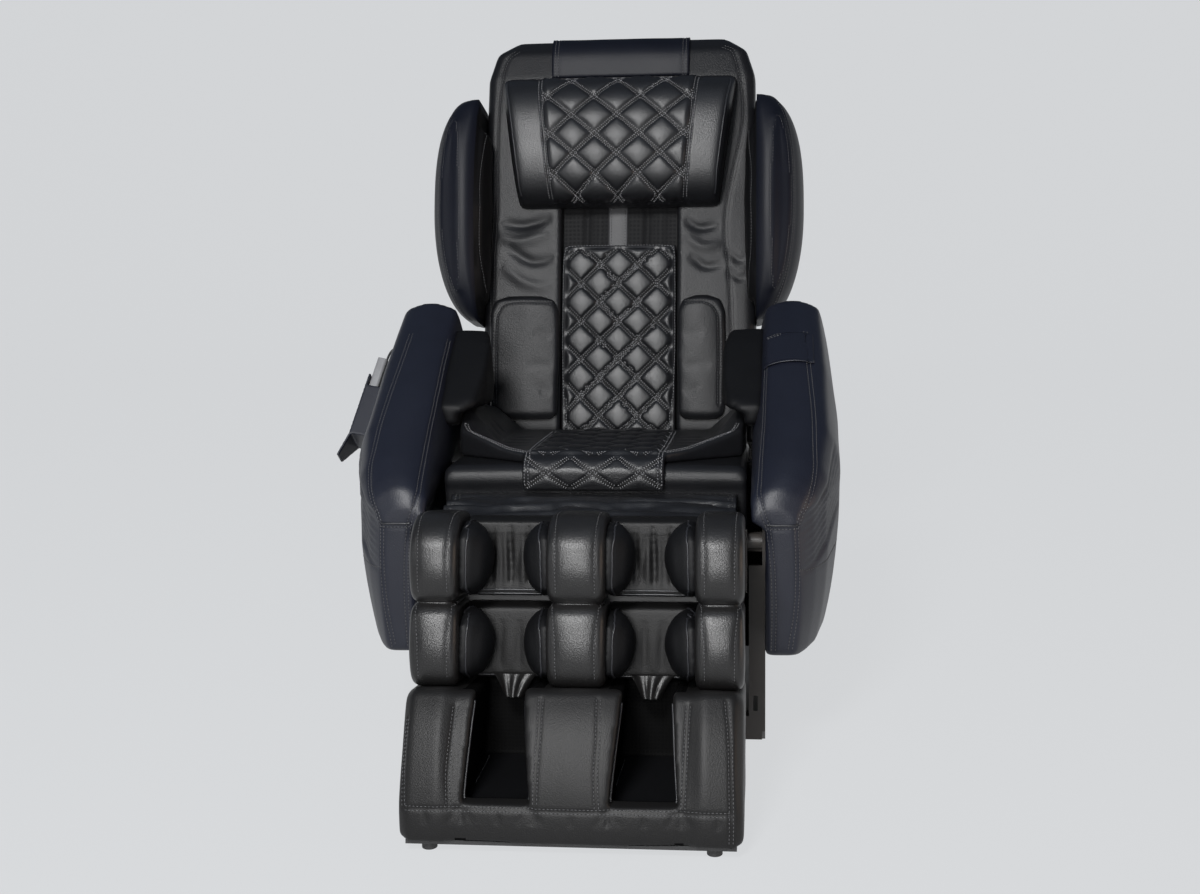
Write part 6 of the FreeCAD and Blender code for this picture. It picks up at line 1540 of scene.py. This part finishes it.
class CHAIR_OT_calf(bpy.types.Operator):
    """Make the calf unit's pads, air leaves and linings"""
    bl_idname = "chair.calf"
    bl_label = "Calf unit"

    def execute(self, context):
        for word, left, right in (("left", -239, -173), ("middle", -40, 40), ("right", 173, 239)):
            self.make_pads(word, left, right)
        self.make_leaves()
        self.make_lining()
        for word, middle in (("left", -100), ("right", 104)):
            self.make_tongue(word, middle)
        return {"FINISHED"}

    def make_pads(self, word, left, right):
        """A column of two padded lobes, with a row of stitches near both sides of each."""
        node = "calf_pads_" + word
        pads = cover_from(node, "calf_pillows_" + word, 2.8, 14, 2.2)

        def barrel(point, normal):
            """Fuller in the middle of each pad, so that its front is rounded both ways."""
            for top, bottom in CALF_ROWS:
                if bottom <= point.z <= top:
                    tall = 2 * (point.z - bottom) / (top - bottom) - 1
                    wide = (point.x - (left + right) / 2) / ((right - left) / 2)
                    crown = (1 - tall * tall) * (1 - 0.4 * min(1, wide * wide))
                    return 9 * crown * max(0, -normal.y) + 0.7 * noise.noise(point / 60)
            return 0

        push(pads, LEG, barrel)
        put(pads, "Leg leather", "leg", "foam_leather", node)
        seams = []
        for top, bottom in CALF_ROWS:
            line = ((-250, bottom + 8), (-254, (top + bottom) / 2), (-244, top - 36), (-222, top - 12),
                    (-184, top - 3), (-150, top - 1))
            for across in (left + 10, right - 10):
                seams.append(single_seam(*[(across, reach, down) for reach, down in line]))
        sew(pads, LEG, seams)

    def make_leaves(self):
        """Air leaves that bulge into the channels from both sides, piped along their fronts."""
        leaves = cover_from("calf_air_leaves", "calf_leaves", 2.8, 10, 0.8)

        def swell(point, normal):
            inward = 1 if (abs(point.x) < CHANNEL_MIDDLE) == (point.x > 0) else -1
            facing = max(0.0, normal.x * inward)
            return leaf_bulge(point.x, point.y, point.z) * facing + noise.noise(point / 40)

        push(leaves, LEG, swell)
        put(leaves, "Air pad leather", "leg", "soft_leather", "calf_air_leaves")
        edges = []
        for top, bottom in CALF_ROWS:
            line = ((-190, bottom + 8), (-222, bottom + 20), (-226, (top + bottom) / 2 - 8),
                    (-222, top - 44), (-200, top - 26), (-160, top - 18))
            for across in (-160, -53, 53, 160):
                edges.append(piping(*[(across, reach, down) for reach, down in line]))
        sew(leaves, LEG, edges)

    def make_lining(self):
        """Soft leather at the rear of the channels, with more folds in the upper row; its darker colour is
        painted shade from the pads.
        """
        lining = cover_from("calf_lining", "calf_back_lining", 3, 8, 1)
        put(lining, "Lining leather", "leg", "soft_leather", "calf_lining")
        upper, lower = CALF_ROWS
        folds = []
        for side in (-1, 1):
            folds += lining_folds(side, *upper, (5, 11), 7, 3.0, 0)
        for side in (-1, 1):
            folds += lining_folds(side, *lower, (6,), 4, 1.6, 1)
        sew(lining, LEG, folds)

    def make_tongue(self, word, middle):
        """Gathered leather that runs from a lower lining down towards the foot well."""
        def point(u, v):
            half = 34 - 22 * v ** 0.7
            gather = 2.6 * math.sin(u * 6 * math.pi + 2 * v) * (0.4 + 0.6 * v)
            return (middle + (2 * u - 1) * half,
                    LINING_FRONT - 9 * math.sin(math.pi * u) - 8 * v + gather, -188 - 34 * v)

        tongue = sheet_mesh("calf_tongue_" + word, 48, 24, point, 2.2, LEG)
        put(tongue, "Leg leather", "leg", "soft_leather")


def foot_seams():
    """Seams of the foot cover's lobes, the seam across them, and the piping round the wells."""
    uprights = (
        ((-232, -279, -235), (-234, -294, -279), (-233, -308, -326), (-232, -313, -354)),
        ((-167, -272, -218), (-169, -294, -261), (-171, -309, -307), (-169, -314, -349)),
        ((-44, -270, -206), (-44, -299, -257), (-46, -313, -304), (-47, -317, -346)),
        ((37, -270, -205), (39, -299, -256), (37, -313, -302), (39, -317, -349)),
        ((164, -268, -213), (162, -289, -255), (160, -304, -301), (158, -313, -352)),
        ((217, -269, -205), (222, -295, -253), (224, -313, -315), (224, -312, -396)),
    )
    across = [(place, -315, -354) for place in (-232, -160, -100, -48, 0, 48, 100, 160, 223)]
    seams = [double_seam(*points, rows=(-2.8, 2.8)) for points in uprights]
    seams.append(double_seam(*across, rows=(-2.8, 2.8)))
    for side in (-1, 1):
        for place, lean in ((150, -7), (56, 12)):
            seams.append(piping(*[(side * (place + lean * share), reach, down) for share, reach, down in
                                  ((0, -300, -344), (0.25, -292, -300), (0.6, -276, -250), (1, -256, -212))]))
    return seams


def foot_creases():
    """Wrinkles that fan out from the wells' lower corners, and the gathers of the bottom band."""
    folds = []
    for corner in (-152, -54, 54, 152):
        for lean in (-12, 0, 12):
            folds.append(crease((corner, -316, -346), (corner + lean * 0.6, -316, -358),
                                (corner + lean * 1.5, -316, -376), depth=1.1, width=5))
    for place in range(-205, 204, 51):
        folds.append(crease((place, -315, -356), (place + 4, -316, -366), (place + 2, -316, -378),
                            depth=1.2, width=4))
    return folds


class CHAIR_OT_foot(bpy.types.Operator):
    """Make the foot unit's padded cover"""
    bl_idname = "chair.foot"
    bl_label = "Foot unit"

    def execute(self, context):
        cover = cover_from("foot_cover", "foot_boot", 3.2, 14, 1.6)
        uneven(cover, LEG, 0.8, 70)
        put(cover, "Foot leather", "foot", "foam_leather", "foot_cover")
        sew(cover, LEG, foot_seams() + foot_creases())
        self.line_wells(cover)
        for word, side in SIDES:
            self.make_sole(word, side)
        return {"FINISHED"}

    def line_wells(self, cover):
        """Give the inside of the foot wells its dark cloth, whose near-black is partly painted shade of the
        deep wells.
        """
        cover.data.materials.append(bpy.data.materials["Lining cloth"])
        inverse = LEG.inverted()
        for face in cover.data.polygons:
            place = inverse @ face.center
            front = 318 - 0.32 * (place.z + 350)
            if 46 < abs(place.x) < 160 and -place.y < front - 24:
                face.material_index = 1

    def make_sole(self, word, side):
        """Thin padded sole over the rollers on the floor of a foot well."""
        def point(u, v):
            across = side * (54 + SOLE_WIDTH * (u if side > 0 else 1 - u))
            crown = 1.5 * math.sin(math.pi * u) * math.sin(math.pi * v) ** 0.5
            return leg_point(across, 300 - SOLE_LENGTH * v, 58.5 + crown)

        sole = sheet_mesh("well_sole_" + word, 40, 60, point, 3.0, LEG)
        put(sole, "Air pad leather", "foot", "soft_leather")
        sew(sole, LEG, [single_seam(*[leg_point(side * across, reach, 60) for across, reach in
                                      ((62, 122), (62, 292), (143, 292), (143, 122))])])


class CHAIR_PT_panel(bpy.types.Panel):
    """Lists the steps that dress the chair"""
    bl_idname = "CHAIR_PT_panel"
    bl_label = "Massage chair"
    bl_space_type = "VIEW_3D"
    bl_region_type = "UI"
    bl_category = "Chair"

    def draw(self, context):
        for step in STEPS:
            self.layout.operator(step.bl_idname)
        for name in ("leather_colour", "arm_colour", "leg_colour", "thread_colour", "puff"):
            self.layout.prop(context.scene.chair_settings, name)


STEPS = (CHAIR_OT_finishes, CHAIR_OT_stage, CHAIR_OT_handset, CHAIR_OT_backrest, CHAIR_OT_pillow,
         CHAIR_OT_wings, CHAIR_OT_seat, CHAIR_OT_arms, CHAIR_OT_calf, CHAIR_OT_foot)
CLASSES = (ChairSettings, StageSettings) + STEPS + (CHAIR_PT_panel,)


def register():
    for item in CLASSES:
        bpy.utils.register_class(item)
    bpy.types.Scene.chair_settings = bpy.props.PointerProperty(type=ChairSettings)
    bpy.types.Scene.stage_settings = bpy.props.PointerProperty(type=StageSettings)


def unregister():
    del bpy.types.Scene.stage_settings
    del bpy.types.Scene.chair_settings
    for item in reversed(CLASSES):
        bpy.utils.unregister_class(item)


def main():
    """Dress the chair."""
    register()
    for step in STEPS:
        group, name = step.bl_idname.split(".")
        getattr(getattr(bpy.ops, group), name)()


if __name__ == "__main__":
    main()
